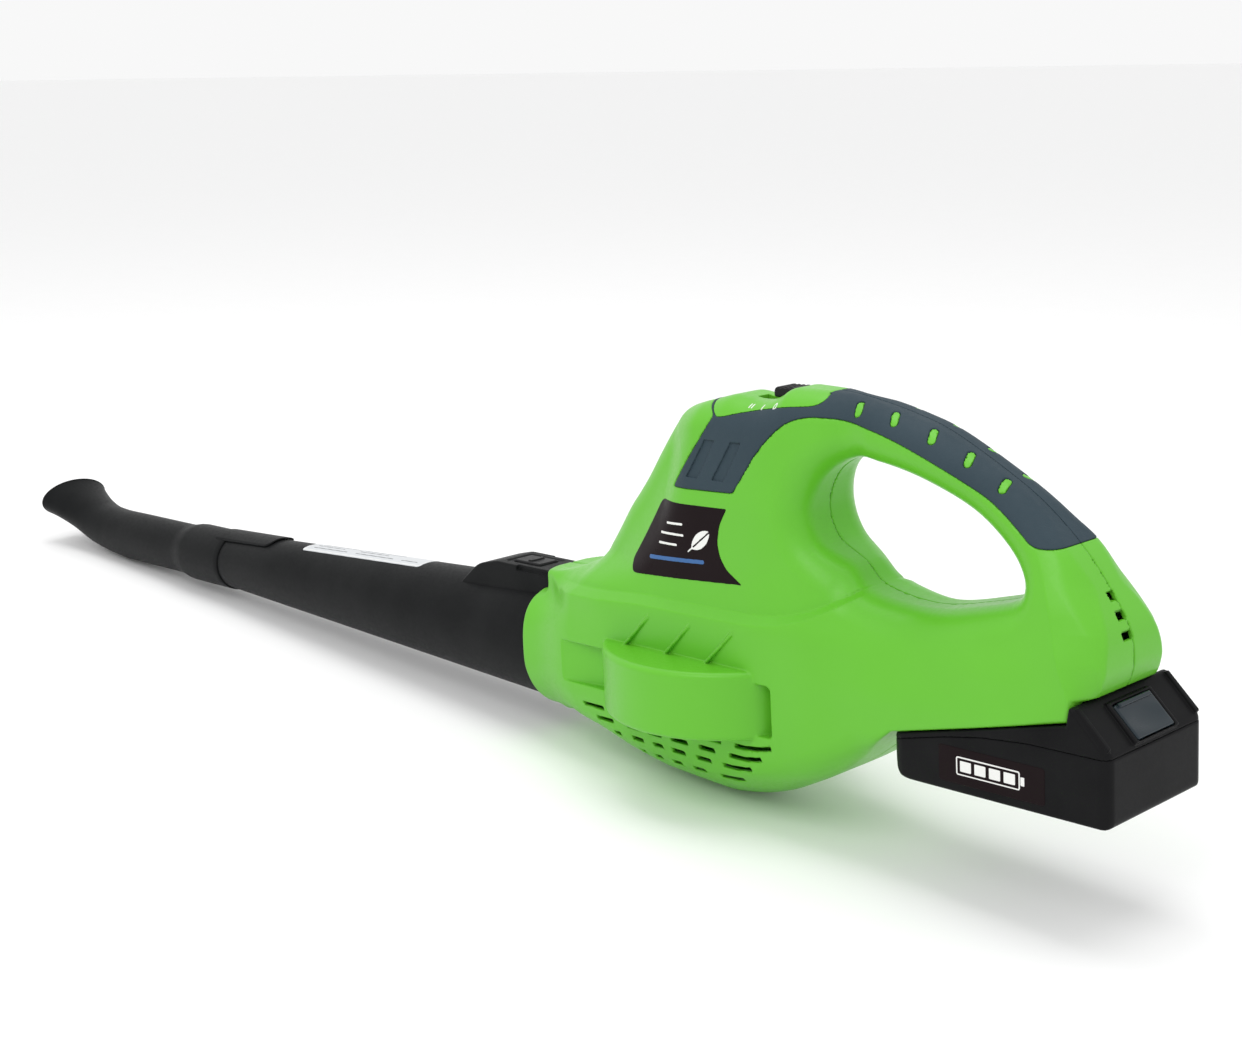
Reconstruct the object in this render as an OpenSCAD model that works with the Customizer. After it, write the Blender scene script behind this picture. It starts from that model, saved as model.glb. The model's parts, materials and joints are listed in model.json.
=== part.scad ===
// Cordless leaf blower: clamshell housing with a vertical-axis fan, tapered tube, flat nozzle
// and slide-on battery. Modelled in the tool frame: x runs from the nozzle (negative) to the
// battery (positive) along the tube axis, z is up and the fan turns about the z axis.
// rest_pose() then tips the whole tool onto its belly and nozzle, as it lies on a floor.

/* [Housing] */
// wall thickness of the two housing halves
wall = 2.6; // [2.2:0.1:3]
// half width of the housing across its flat flanks
flank_half = 43.5; // [42:0.5:45]
// outer radius of the fan drum that bulges through both flanks
drum_r = 70; // [68:0.5:71]
// outer radius of the collar that holds the tube
collar_r = 37.5; // [37:0.25:38]
// thickness of the soft grip skin let into the housing
grip_t = 1.4; // [1.2:0.1:1.8]
// number of vent slots in each short row under the drum
vent_columns = 4; // [3:1:5]

/* [Air path] */
// radius of the tube at the housing mouth
tube_root_r = 34.5; // [34:0.25:35]
// radius of the tube where the nozzle starts
tube_tip_r = 20; // [19.5:0.25:20.25]
// wall thickness of the tube and nozzle
tube_wall = 2.2; // [1.8:0.1:2.4]
// tip radius of the fan impeller
impeller_r = 50; // [46:1:54]
// number of impeller blades
blade_count = 9; // [7:1:13]

/* [Battery] */
// half width of the battery pack
pack_half = 38; // [37:0.5:39]

/* [Travel] */
// distance the speed slider moves between off and full speed
slider_travel = 12; // [10:1:12]
// depth the tube release button is pressed
button_travel = 2.5; // [2:0.5:3]
// depth the battery latch is pressed
latch_travel = 3; // [2:0.5:3]

/* [Hidden] */
// which sub-part to build, or "all" of them

// number of cells in the pack
cell_count = 5;

gap = 0.4;                    // clearance between parts that move past each other
eps = 0.05;                   // overshoot of a cutting solid
running = 0.05;               // radial clearance of a running fit
far = 400;                    // larger than any slice of the tool

// rest attitude: the belly pad and the underside of the nozzle touch the floor
ride_height = 58.3;           // tube axis above the floor at the fan axis
nozzle_touch_x = -650;        // where the nozzle rests
nozzle_r = 18.5;              // nozzle radius there
tilt = asin(ride_height / norm([nozzle_touch_x, nozzle_r])) - atan2(nozzle_r, -nozzle_touch_x);
middle_x = -247.85;           // middle of the tool's length in the rest attitude
pad_front = -30;              // flat belly pad, front and rear ends
pad_rear = 12;

mouth_x = -134;               // front edge of the collar
spigot_end_x = -104;          // rear end of the tube inside the collar
joint_x = -494;               // where the nozzle sleeve meets the tube
grip_half = 17;               // half width of the handle bar

case_r = 65;                  // fan case radius
case_low = -9;                // fan case bottom
case_high = 21;               // fan case top
case_split = 6;               // parting plane of the fan case
motor_r = 21;
motor_low = 22;
motor_high = 80;
shaft_r = 2.5;

seat_front = [137, 8];        // battery seat: front and rear ends of its sloping edge
seat_rear = [234, 31];
seat_angle = atan2(seat_rear[1] - seat_front[1], seat_rear[0] - seat_front[0]);
pack_bottom = -13;
pack_rear = 256;

green = [0.36, 0.80, 0.12];
slate = [0.22, 0.27, 0.33];
black = [0.05, 0.05, 0.055];
steel = [0.65, 0.66, 0.68];
copper = [0.72, 0.42, 0.24];

// ---------------------------------------------------------------- helpers

function catmull(a, b, c, d, t) =
    0.5 * (2 * b + (c - a) * t + (2 * a - 5 * b + 4 * c - d) * t * t
    + (3 * b - a - 3 * c + d) * t * t * t);

// smooth line through the given points, n steps between neighbours
function curve(p, n = 3) = [
    for (i = [0 : len(p) - 2])
        for (k = [0 : n - 1])
            catmull(p[max(i - 1, 0)], p[i], p[i + 1], p[min(i + 2, len(p) - 1)], k / n),
    p[len(p) - 1]
];

// closed smooth outline through the given points
function loop(p, n = 3) = [
    for (i = [0 : len(p) - 1])
        for (k = [0 : n - 1])
            catmull(p[(i + len(p) - 1) % len(p)], p[i], p[(i + 1) % len(p)],
                p[(i + 2) % len(p)], k / n)
];

function mirrored(p) = concat(p, [for (i = [len(p) - 1 : -1 : 0]) [-p[i][0], p[i][1]]]);

// height in the tool frame of the floor below a given x
function floor_z(x) = (-ride_height - x * sin(tilt)) / cos(tilt);

module rest_pose() {
    translate([-middle_x, 0, ride_height])
        rotate([0, -tilt, 0])
            children();
}

// extrude a side view (x, z) symmetrically about the centre plane
module across(width) {
    rotate([90, 0, 0])
        linear_extrude(height = width, center = true)
            children();
}

// extrude a cross section (y, z) along x
module along(x0, x1) {
    translate([x0, 0, 0])
        rotate([90, 0, 90])
            linear_extrude(height = x1 - x0)
                children();
}

// extrude a plan view (x, y) upwards
module upright(z0, z1) {
    translate([0, 0, z0])
        linear_extrude(height = z1 - z0)
            children();
}

module rod_x(x0, x1, r) {
    translate([x0, 0, 0])
        rotate([0, 90, 0])
            cylinder(h = x1 - x0, r = r, $fn = 72);
}

// a cone along x from radius ra at xa to radius rb at xb, with xa < xb
module cone_x(xa, ra, xb, rb) {
    translate([xa, 0, 0])
        rotate([0, 90, 0])
            cylinder(h = xb - xa, r1 = ra, r2 = rb, $fn = 72);
}

module ring(z0, z1, r_out, r_in) {
    translate([0, 0, z0])
        difference() {
            cylinder(h = z1 - z0, r = r_out, $fn = 72);
            translate([0, 0, -eps])
                cylinder(h = z1 - z0 + 2 * eps, r = r_in, $fn = 72);
        }
}

module block(low, high) {
    translate(low)
        cube(high - low);
}

// a slot with round ends between two points of a plan or side view
module slot_2d(a, b, r) {
    length = norm(b - a);
    translate(a)
        rotate(atan2(b[1] - a[1], b[0] - a[0])) {
            translate([0, -r])
                square([length, 2 * r]);
            circle(r = r, $fn = 24);
            translate([length, 0])
                circle(r = r, $fn = 24);
        }
}

// a compression spring: closed rings joined by two side bars, standing on z = 0
module spring(height, coil_r, wire_r, turns) {
    pitch = (height - 2 * wire_r) / turns;
    for (i = [0 : turns])
        translate([0, 0, wire_r + i * pitch])
            rotate_extrude($fn = 48)
                translate([coil_r, 0])
                    circle(r = wire_r, $fn = 16);
    for (side = [-1, 1])
        translate([side * coil_r, 0, wire_r])
            cylinder(h = height - 2 * wire_r, r = wire_r * 0.8, $fn = 16);
}

// place children in the battery seat frame: x up the seat slope, z square to it
module in_seat() {
    translate([seat_front[0], 0, seat_front[1]])
        rotate([0, -seat_angle, 0])
            children();
}

// ---------------------------------------------------------------- housing outlines

belly = curve([
    [mouth_x, -collar_r], [-96, -37.8], [-74, -41], [-52, -50.5],
    [pad_front, floor_z(pad_front)]
]);

stern = curve([
    [pad_rear, floor_z(pad_rear)], [36, -54], [63, -42], [97, -23], seat_front
]);

top_line = curve([
    [239.5, 42], [244, 54], [241, 68], [232, 85], [218, 102], [197, 120], [172, 135],
    [147, 148], [111, 158], [84, 161.5], [60, 162], [20, 157], [-8, 151], [-26, 142],
    [-44, 121], [-66, 92], [-92, 64], [-104, 54], [-118, 51], [mouth_x + 4, 49]
]);

housing_line = concat(belly, stern, [seat_rear, [235, 36.4]], top_line, [[mouth_x, 45]]);

handle_hole = loop([
    [94, 130], [79, 121], [72, 104], [78, 88], [95, 78], [108, 67.5], [138, 63],
    [168, 68], [196, 77], [195, 90], [172, 110], [140, 123], [112, 129.5]
]);

// half of the fan section seen from the front, from the bottom centre to the top centre
fan_half_section = curve([
    [0, -62], [15, -60.5], [27, -51.5], [37, -38], [42.5, -22], [flank_half, -10],
    [flank_half, 40], [40.5, 50], [37, 72], [32, 105], [28, 134], [19, 154], [8, 163], [0, 164]
]);

// half of the rear section: wide battery foot below, slim handle above
rear_half_section = curve([
    [0, -62], [25, -50], [pack_half - 1, -20], [pack_half, 0], [pack_half, 34], [31, 52],
    [24, 68], [grip_half, 88], [grip_half, 146], [12, 160], [5, 165], [0, 166]
]);

// half plan of the housing below and above the shoulder crease
lower_half_plan = [
    [mouth_x, 0], [mouth_x, 30], [-110, 37.5], [-84, flank_half], [70, flank_half],
    [112, 36], [140, pack_half + 1], [240, pack_half + 1], [246, 34], [246, 0]
];
upper_half_plan = [
    [mouth_x, 0], [mouth_x, 15], [-104, 17], [-78, 25], [-40, 34], [-10, 39], [60, 39],
    [90, 30], [140, 34], [236, 34], [246, 20], [246, 0]
];

module plan(p) {
    polygon(concat(p, [for (i = [len(p) - 1 : -1 : 0]) [p[i][0], -p[i][1]]]));
}

module side_view(inset) {
    offset(delta = -inset)
        difference() {
            polygon(housing_line);
            polygon(handle_hole);
        }
}

crease_z = 48;                // height of the shoulder crease
drum_low = -12;               // underside and top of the fan drum
drum_high = 24;
drum_edge = 4;                // rounding of its rim
section_change_x = 78;        // where the fan section hands over to the rear section

// the solid housing form, shrunk all round by inset
module housing_form(inset) {
    intersection() {
        across(far)
            side_view(inset);
        union() {
            along(mouth_x, section_change_x + 22)
                offset(delta = -inset)
                    polygon(mirrored(fan_half_section));
            along(section_change_x, 250)
                offset(delta = -inset)
                    polygon(mirrored(rear_half_section));
        }
        union() {
            upright(-70, crease_z)
                offset(delta = -inset)
                    plan(lower_half_plan);
            upright(crease_z - 1, 170)
                offset(delta = -inset)
                    plan(upper_half_plan);
        }
    }
    // the fan drum, with rounded upper and lower edges
    corner = [drum_r - drum_edge, (drum_high - drum_low) / 2 - drum_edge];
    translate([0, 0, (drum_low + drum_high) / 2])
        rotate_extrude($fn = 96)
            polygon(concat(
                [[0, -corner[1] - drum_edge + inset]],
                [for (a = [-90 : 30 : 0]) [corner[0], -corner[1]] + (drum_edge - inset) * [cos(a), sin(a)]],
                [for (a = [0 : 30 : 90]) [corner[0], corner[1]] + (drum_edge - inset) * [cos(a), sin(a)]],
                [[0, corner[1] + drum_edge - inset]]
            ));
}

// ---------------------------------------------------------------- housing details

grip_outline = concat(
    [[-12, 109], [33, 110]],
    curve([[46, 129], [55, 139.2], [64, 146.6], [77, 150.3], [98, 149.3], [124, 143.3],
        [153, 132.4], [180, 120.5], [199, 107], [208, 101.7]]),
    [[228, 104], [200, 130], [150, 158], [100, 170], [86, 170], [85, 159], [64, 156], [37, 152],
        [16, 148], [6, 133]]
);

grip_windows = [for (i = [0 : 4]) [106, 156] + i * [21.1, -5.5] - [0, i * i * 0.45]];

module grip_zone() {
    across(far)
        difference() {
            polygon(grip_outline);
            for (p = grip_windows)
                slot_2d(p + [-0.8, -3], p + [0.8, 3], 1.8);
        }
}

screw_spots = [
    [-98, 46], [-70, -28], [62, -30], [-34, 120], [62, 92], [112, 47], [214, 62], [212, 90]
];
boss_r = 4.2;
screw_r = 1.6;
screw_head_r = 3.2;
screw_head_y = 13;            // where the screw heads sit, measured from the centre plane

module at_screws() {
    for (p = screw_spots)
        translate([p[0], 0, p[1]])
            rotate([90, 0, 0])
                children();
}

// intake slots in one flank: short slots in rows, then a longer curved slot at the rear
module vent_slots() {
    for (row = [0 : 3]) {
        z = -19.5 - row * 7.3;
        for (column = [0 : vent_columns - 1])
            slot_2d([-50 + row * 6 + column * (19 - row * 1.6), z],
                [-40 + row * 6 + column * (19 - row * 1.6), z], 1.1);
        slot_2d([32 - row * 4, z], [54 - row * 6, z + 0.5], 1.1);
    }
}

// raised ribs that run down the flank to the top of the drum
module gussets() {
    for (x = [-36, -5.5, 24])
        for (side = [-1, 1])
            translate([x, side * (flank_half - 1), drum_high - 2])
                rotate([0, 45, 0])
                    rotate([0, 0, side > 0 ? 0 : 180])
                        rotate([90, 0, 90])
                            linear_extrude(height = 1.8)
                                polygon([[0, 0], [5, 0], [1.2, 27], [0, 27]]);
}

// pockets beside the drum where the fan case shows
module drum_windows() {
    for (side = [-1, 1])
        translate([0, side * (flank_half + 3), 0]) {
            block([-91, -5.5, -6], [-50, 5.5, 17]);
            block([47, -5.5, -9], [65, 5.5, 18]);
        }
}

module rear_holes() {
    for (i = [0 : 2])
        translate([238, 0, 82 - i * 7.5])
            block([-12, -2 - i * 0.6, -1.6], [12, 2 + i * 0.6, 1.6]);
}

// everything the slide-on pack needs: open seat, tower channel and its way out at the rear
tower_half = 25;
neck_half = 20;
tower_top = 7.5;
module pack_way() {
    in_seat() {
        block([6, -neck_half - gap, -4], [130, neck_half + gap, 6]);
        block([6, -tower_half - gap, 3.1], [130, tower_half + gap, tower_top + gap]);
    }
}

module tube_socket() {
    rod_x(mouth_x - 1, spigot_end_x + 4, collar_r - wall - 3.6);
    block([mouth_x - 1, -16.4, 20], [-110, 16.4, 46.2]);
}

module slider_slot() {
    block([22, -5, 140], [66, 5, 170]);
}

module housing_half(side) {
    color(green)
        intersection() {
            difference() {
                union() {
                    difference() {
                        union() {
                            housing_form(0);
                            gussets();
                        }
                        housing_form(wall);
                    }
                    intersection() {
                        housing_form(wall / 2);
                        union() {
                            at_screws()
                                cylinder(h = 90, r = boss_r, center = true, $fn = 32);
                            // collar lining that carries the tube spigot
                            rod_x(mouth_x, spigot_end_x + 2, collar_r - 1);
                            // rails under the tower of the pack
                            in_seat()
                                block([4, -pack_half, 0.3], [112, pack_half, 2.8]);
                        }
                    }
                }
                // screw holes, and head wells in the right half
                at_screws() {
                    cylinder(h = 60, r = screw_r, center = true, $fn = 24);
                    translate([0, 0, -100 - screw_head_y])
                        cylinder(h = 100, r = screw_head_r + 0.3, $fn = 24);
                }
                tube_socket();
                pack_way();
                slider_slot();
                drum_windows();
                rear_holes();
                grip_recess();
                cradle_recess();
                across(far)
                    vent_slots();
                // free space for the fan case, the motor and the air duct
                fan_space();
            }
            block([-200, side > 0 ? 0 : -100, -100], [300, side > 0 ? 100 : 0, 200]);
        }
}

module grip_recess() {
    difference() {
        grip_zone();
        housing_form(grip_t);
    }
}

module fan_space() {
    upright(case_low - 0.3, case_high + 0.3)
        fan_case_plan(0.4);
    translate([0, 0, case_high])
        cylinder(h = 80, r = motor_r + 2, $fn = 48);
}

module left_housing() rest_pose() {
    housing_half(-1);
}

module right_housing() rest_pose() {
    housing_half(1);
}

module grip_half_skin(side) {
    color(slate)
        intersection() {
            grip_zone();
            difference() {
                housing_form(0);
                housing_form(grip_t);
                cradle_recess();
                slider_slot();
            }
            block([-50, side > 0 ? 0 : -60, 60], [260, side > 0 ? 60 : 0, 200]);
        }
}

module left_grip() rest_pose() {
    grip_half_skin(-1);
}

module right_grip() rest_pose() {
    grip_half_skin(1);
}

// ---------------------------------------------------------------- switch cradle and slider

cradle_line = concat(
    [[8, 146.5], [37, 151.6], [64, 155.6], [84.5, 158.6], [86, 162]],
    curve([[82, 163.6], [66, 164.2], [58, 162.5], [50, 157.5], [36, 156.3], [28, 158.5],
        [20, 159.2], [12, 156], [6, 151]])
);
knob_x = [42, 57];            // the slider knob at the off position

module cradle_recess() {
    across(far)
        polygon([[7.5, 146], [37, 151], [64, 155], [85, 158], [89, 170], [0, 170]]);
}

module switch_cradle() rest_pose() {
    color(green)
        difference() {
            intersection() {
                across(far)
                    polygon(cradle_line);
                along(0, 100)
                    polygon(mirrored(fan_half_section));
            }
            block([knob_x[0] - slider_travel - gap, -4, 140], [knob_x[1] + gap, 4, 170]);
            // the knob slides in a shallow track
            block([knob_x[0] - slider_travel - gap, -8, 156.1], [knob_x[1] + gap, 8, 170]);
        }
}

// raised 0, I and II marks on both sides of the cradle
module position_marks() rest_pose() {
    color("white")
        intersection() {
            difference() {
                along(20, 70)
                    offset(delta = 0.3)
                        polygon(mirrored(fan_half_section));
                along(19, 71)
                    polygon(mirrored(fan_half_section));
            }
            across(far) {
                translate([53, 155.4])
                    difference() {
                        circle(r = 1.3, $fn = 32);
                        circle(r = 0.7, $fn = 32);
                    }
                for (x = [45.8, 37.2, 39])
                    translate([x, x > 40 ? 153.2 : 152.2])
                        square([0.7, 2.6]);
            }
        }
}

module speed_slider() rest_pose() {
    color(black) {
        difference() {
            block([knob_x[0], -7, 156.5], [knob_x[1], 7, 163]);
            translate([knob_x[0] - 1, 0, 163])
                rotate([0, 35, 0])
                    cube([8, 20, 8], center = true);
        }
        block([knob_x[0] + 3, -3, 149], [knob_x[1] - 3, 3, 157]);
    }
}

module slide_switch() rest_pose() {
    color(black)
        difference() {
            block([26, -7, 134], [64, 7, 148.5]);
            block([knob_x[0] + 2 - slider_travel, -3.6, 146], [knob_x[1] - 2, 3.6, 150]);
        }
}

module control_board() rest_pose() {
    color([0.05, 0.30, 0.16])
        block([14, -15, 132.2], [74, 15, 133.8]);
}

module board_parts() rest_pose() {
    color(black) {
        translate([20, 8, 122.2])
            cylinder(h = 10, r = 4, $fn = 32);
        block([30, 3, 128.2], [40, 13, 132.2]);
        block([44, -12, 129.2], [55, -4, 132.2]);
        block([62, 2, 122.2], [64.5, 14, 132.2]);
    }
}

// ---------------------------------------------------------------- fasteners and labels

module housing_screws() rest_pose() {
    color(steel)
        at_screws() {
            translate([0, 0, -screw_head_y - 2.2])
                difference() {
                    cylinder(h = 2.2, r = screw_head_r, $fn = 32);
                    translate([0, 0, -eps])
                        cylinder(h = 1.4, r = 1.2, $fn = 6);
                }
            translate([0, 0, -screw_head_y])
                cylinder(h = 24, r = screw_r, $fn = 24);
        }
}

label_line = concat(
    [[24, 84]], curve([[24, 84], [29, 73], [42, 65]]),
    [[-38, 60], [-42, 62], [-42, 66], [-24, 97], [-20, 100], [30, 102]]
);

module side_label(side) {
    color([0.07, 0.05, 0.05])
        intersection() {
            across(far)
                polygon(label_line);
            difference() {
                housing_form(-0.4);
                housing_form(0);
            }
            block([-80, side > 0 ? 10 : -60, 50], [60, side > 0 ? 60 : -10, 110]);
        }
}

module left_side_label() rest_pose() {
    side_label(-1);
}

module right_side_label() rest_pose() {
    side_label(1);
}

// ---------------------------------------------------------------- fan and motor

module fan_case_plan(grow) {
    circle(r = case_r + grow, $fn = 96);
    duct_half = 31 + grow;
    polygon([[-30, -40 - grow], [-96, -duct_half], [-96, duct_half], [-30, 40 + grow]]);
}

module fan_case_lower() rest_pose() {
    color([0.12, 0.12, 0.13])
        difference() {
            upright(case_low, case_split)
                fan_case_plan(0);
            upright(case_low + 2, case_split + 1)
                fan_case_plan(-2.2);
            // intake eye
            translate([0, 0, case_low - 1])
                cylinder(h = 5, r = 28, $fn = 72);
        }
}

module fan_case_upper() rest_pose() {
    color([0.12, 0.12, 0.13])
        difference() {
            upright(case_split, case_high)
                fan_case_plan(0);
            upright(case_split - 1, case_high - 2)
                fan_case_plan(-2.2);
            translate([0, 0, case_high - 4])
                cylinder(h = 8, r = 8, $fn = 48);
            for (side = [-1, 1])
                translate([side * 14, 0, case_high - 4])
                    cylinder(h = 8, r = 2.05, $fn = 24);
        }
}

// backward-curved blades between a back plate and a front ring
module impeller() rest_pose() {
    hub_r = 8;
    eye_r = 27;
    color([0.85, 0.86, 0.84]) {
        ring(-2, 17, hub_r, shaft_r);
        ring(13.6, 15.6, impeller_r, hub_r - 1);
        ring(-5.5, -3.9, impeller_r, eye_r);
        for (i = [0 : blade_count - 1])
            rotate(i * 360 / blade_count)
                upright(-4.5, 14)
                    polygon(concat(
                        [for (t = [0 : 0.2 : 1]) blade_point(t, 0.9)],
                        [for (t = [1 : -0.2 : 0]) blade_point(t, -0.9)]
                    ));
    }
}

// a point of the blade's mean line, moved sideways by half its thickness
function blade_point(t, offset_y) =
    let (r = 20 + (impeller_r - 21) * t, a = -46 * t * t - 10 * t)
    [r * cos(a), r * sin(a)] + offset_y * [sin(60 - a), cos(60 - a)];

module motor_shaft() rest_pose() {
    color(steel)
        translate([0, 0, -7])
            cylinder(h = 97, r = shaft_r, $fn = 48);
}

module impeller_nut() rest_pose() {
    color(steel)
        translate([0, 0, -6])
            difference() {
                cylinder(h = 4, r = 4.6, $fn = 6);
                translate([0, 0, -1])
                    cylinder(h = 6, r = shaft_r, $fn = 48);
            }
}

module motor_rotor() rest_pose() {
    color(copper) {
        for (i = [0 : 4])
            rotate(i * 72)
                translate([0, 0, 32])
                    intersection() {
                        ring(0, 38, 17, 5);
                        block([5, -4.5, 0], [20, 4.5, 38]);
                    }
        ring(30, 72, 7, shaft_r);
        ring(72, 78, 5, shaft_r);
    }
}

module motor_can() rest_pose() {
    color([0.55, 0.56, 0.58])
        difference() {
            union() {
                translate([0, 0, motor_low])
                    cylinder(h = motor_high - motor_low, r = motor_r, $fn = 96);
                translate([0, 0, motor_low - 2.5])
                    cylinder(h = 4, r = 7.5, $fn = 48);
            }
            translate([0, 0, motor_low + 5])
                cylinder(h = far, r = motor_r - 1.4, $fn = 96);
            translate([0, 0, motor_low - 5])
                cylinder(h = 20, r = 6, $fn = 48);
            for (side = [-1, 1])
                translate([side * 14, 0, motor_low - 1])
                    cylinder(h = 8, r = 1.9, $fn = 24);
            // cooling windows
            for (i = [0 : 3])
                rotate(i * 90 + 45)
                    block([10, -4, 66], [30, 4, 74]);
        }
}

module motor_end_cap() rest_pose() {
    color(black)
        difference() {
            union() {
                translate([0, 0, motor_high])
                    cylinder(h = 3.5, r = motor_r, $fn = 96);
                translate([0, 0, motor_high + 3])
                    cylinder(h = 4.5, r = 8.5, $fn = 48);
            }
            translate([0, 0, motor_high - 1])
                cylinder(h = 20, r = 6, $fn = 48);
            for (side = [-1, 1])
                block([-3, side * 14 - 1, motor_high - 1], [3, side * 14 + 1, motor_high + 8]);
        }
}

module motor_bearings() rest_pose() {
    color(steel) {
        ring(motor_low - 2.2, motor_low + 4.6, 5.97, shaft_r + running);
        ring(motor_high + 1, motor_high + 7, 5.97, shaft_r + running);
    }
}

module motor_screws() rest_pose() {
    color(steel)
        for (side = [-1, 1])
            translate([side * 14, 0, 0]) {
                translate([0, 0, case_high - 2])
                    cylinder(h = 5, r = 1.9, $fn = 24);
                translate([0, 0, case_high - 4])
                    difference() {
                        cylinder(h = 2, r = 3.4, $fn = 32);
                        translate([0, 0, -1])
                            cylinder(h = 2, r = 1.3, $fn = 6);
                    }
            }
}

module motor_tabs() rest_pose() {
    color(copper)
        for (side = [-1, 1])
            block([-2.8, side * 14 - 0.5, motor_high + 0.5], [2.8, side * 14 + 0.5, 92]);
}

// ---------------------------------------------------------------- wiring

// a corner of a lead: eight points round p, square to the mean direction of travel
function lead_ring(p, direction, r) =
    let (side = cross(direction, [1, 0.3, 0.1]), u = side / norm(side), v = cross(direction, u))
    [for (a = [0 : 45 : 315]) p + r * (u * cos(a) + v * sin(a))];

function unit(v) = v / norm(v);

// a lead through a list of points, as one eight-sided tube
module lead(points, r) {
    last = len(points) - 1;
    rings = [
        for (i = [0 : last])
            lead_ring(points[i], unit(points[min(i + 1, last)] - points[max(i - 1, 0)]), r)
    ];
    polyhedron(
        points = [for (ring = rings) for (p = ring) p],
        faces = concat(
            [[for (k = [0 : 7]) k]],
            [for (i = [0 : last - 1]) for (k = [0 : 7])
                [i * 8 + (k + 1) % 8, i * 8 + k, (i + 1) * 8 + k, (i + 1) * 8 + (k + 1) % 8]],
            [[for (k = [7 : -1 : 0]) last * 8 + k]]
        )
    );
}

module motor_leads() rest_pose() {
    color([0.75, 0.08, 0.06])
        for (side = [-1, 1])
            lead([[0, side * 14, 93.5], [6, side * 13, 104], [15, side * 13, 120], [16, side * 13, 130.7]],
                1.3);
}

module battery_leads() rest_pose() {
    color([0.10, 0.10, 0.11])
        for (side = [-1, 1])
            lead([[58.5, side * 9, 130.6], [60, side * 9, 112], [50, side * 22, 70], [66, side * 24, 40],
                [100, side * 18, 30], [128, side * 12, 24], [137, side * 10, 22.5]], 1.4);
}

// ---------------------------------------------------------------- battery connection

module terminal_block() rest_pose() {
    color(black)
        in_seat()
            difference() {
                block([6.5, -18, tower_top + 0.8], [36, 18, tower_top + 8]);
                for (y = [-10, 0, 10])
                    block([5, y - 3, tower_top + 3], [10, y + 3, tower_top + 9]);
            }
}

module terminal_blades() rest_pose() {
    color(copper)
        in_seat()
            for (y = [-10, 0, 10])
                block([16, y - 0.4, 4], [34, y + 0.4, tower_top + 0.8]);
}

// ---------------------------------------------------------------- tube

module lug_line() {
    polygon([
        [-216, 22], [-216, 26.5], [-196, 41], [-180, 44.5], [-134, 44.2], [-112, 44.2], [-112, 28],
        [-134, 22]
    ]);
}

button_x = [-172, -148];
button_half = 7;

module blower_tube() rest_pose() {
    color(black)
        difference() {
            union() {
                cone_x(joint_x, tube_tip_r, mouth_x - 0.3, tube_root_r);
                rod_x(joint_x - 28, joint_x + 1, tube_tip_r - 1.6);
                rod_x(mouth_x - 1, spigot_end_x, collar_r - wall - 3.6 - running);
                across(31)
                    lug_line();
                // guide rib under the nozzle tongue
                block([-436, -8, 10], [-432, 8, 24.5]);
            }
            cone_x(joint_x - 29, tube_tip_r - 4, mouth_x - 3, tube_root_r - 5.5);
            rod_x(mouth_x - 4, spigot_end_x + 1, tube_root_r - 5.5);
            // pocket for the release button and its spring
            block([button_x[0] - gap, -button_half - gap, 35], [button_x[1] + gap, button_half + gap, 50]);
        }
}

module tube_label() rest_pose() {
    color([0.80, 0.81, 0.82])
        difference() {
            intersection() {
                cone_x(joint_x, tube_tip_r + 0.3, mouth_x - 0.3, tube_root_r + 0.3);
                block([-399, -9, 10], [-266, 9, 40]);
            }
            cone_x(joint_x, tube_tip_r, mouth_x - 0.3, tube_root_r);
        }
}

module tube_release_button() rest_pose() {
    color([0.09, 0.09, 0.10]) {
        block([button_x[0], -button_half, 40.5], [button_x[1], button_half, 45]);
        translate([-160, 0, 0])
            ring(38.6, 41, 5.4, 4.4);
        translate([-160, 0, 45 - eps])
            intersection() {
                cylinder(h = 1, r = 6, $fn = 48);
                block([-5, -5, 0], [5, 5, 1]);
            }
    }
}

module button_spring() rest_pose() {
    color(steel)
        translate([-160, 0, 35.05])
            spring(5.4, 3, 0.45, 3);
}

// ---------------------------------------------------------------- nozzle

// flattening and rising outlet: x, centre height, half width, half height
outlet_stations = [[-650, 0, 18.5, 18.5], [-692, 3, 19.5, 17], [-726, 12, 23, 14.5], [-751, 21, 26.5, 14.5]];

module station(s, shrink) {
    translate([s[0], 0, s[1]])
        scale([1, s[2] - shrink, s[3] - shrink])
            rotate([0, 90, 0])
                cylinder(h = 0.5, r = 1, $fn = 32, center = true);
}

module outlet_form(shrink) {
    for (i = [0 : len(outlet_stations) - 2])
        hull() {
            station(outlet_stations[i], shrink);
            station(outlet_stations[i + 1], shrink);
        }
}

module front_nozzle() rest_pose() {
    color(black)
        difference() {
            union() {
                rod_x(-575, joint_x - gap, tube_tip_r + 1);
                cone_x(-595, nozzle_r, -575, tube_tip_r + 1);
                rod_x(-650, -590, nozzle_r);
                outlet_form(0);
                // locking tongue over the tube
                intersection() {
                    cone_x(joint_x - 2, tube_tip_r + 2.3, -430, tube_tip_r + 4.3);
                    block([joint_x - 1, -12, 5], [-437, 12, 40]);
                }
            }
            rod_x(-540, joint_x + 2, tube_tip_r - 1.6 + running);
            cone_x(-560, tube_tip_r - 3.6, -539.9, tube_tip_r - 1.6 + running);
            rod_x(-651, -559.9, nozzle_r - tube_wall);
            outlet_form(tube_wall);
            translate([-4, 0, 0.6])
                station(outlet_stations[3], tube_wall);
            // the tongue clears the tapering tube below it
            cone_x(joint_x, tube_tip_r + 0.4, mouth_x, tube_root_r + 0.4);
        }
}

// ---------------------------------------------------------------- battery pack

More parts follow.
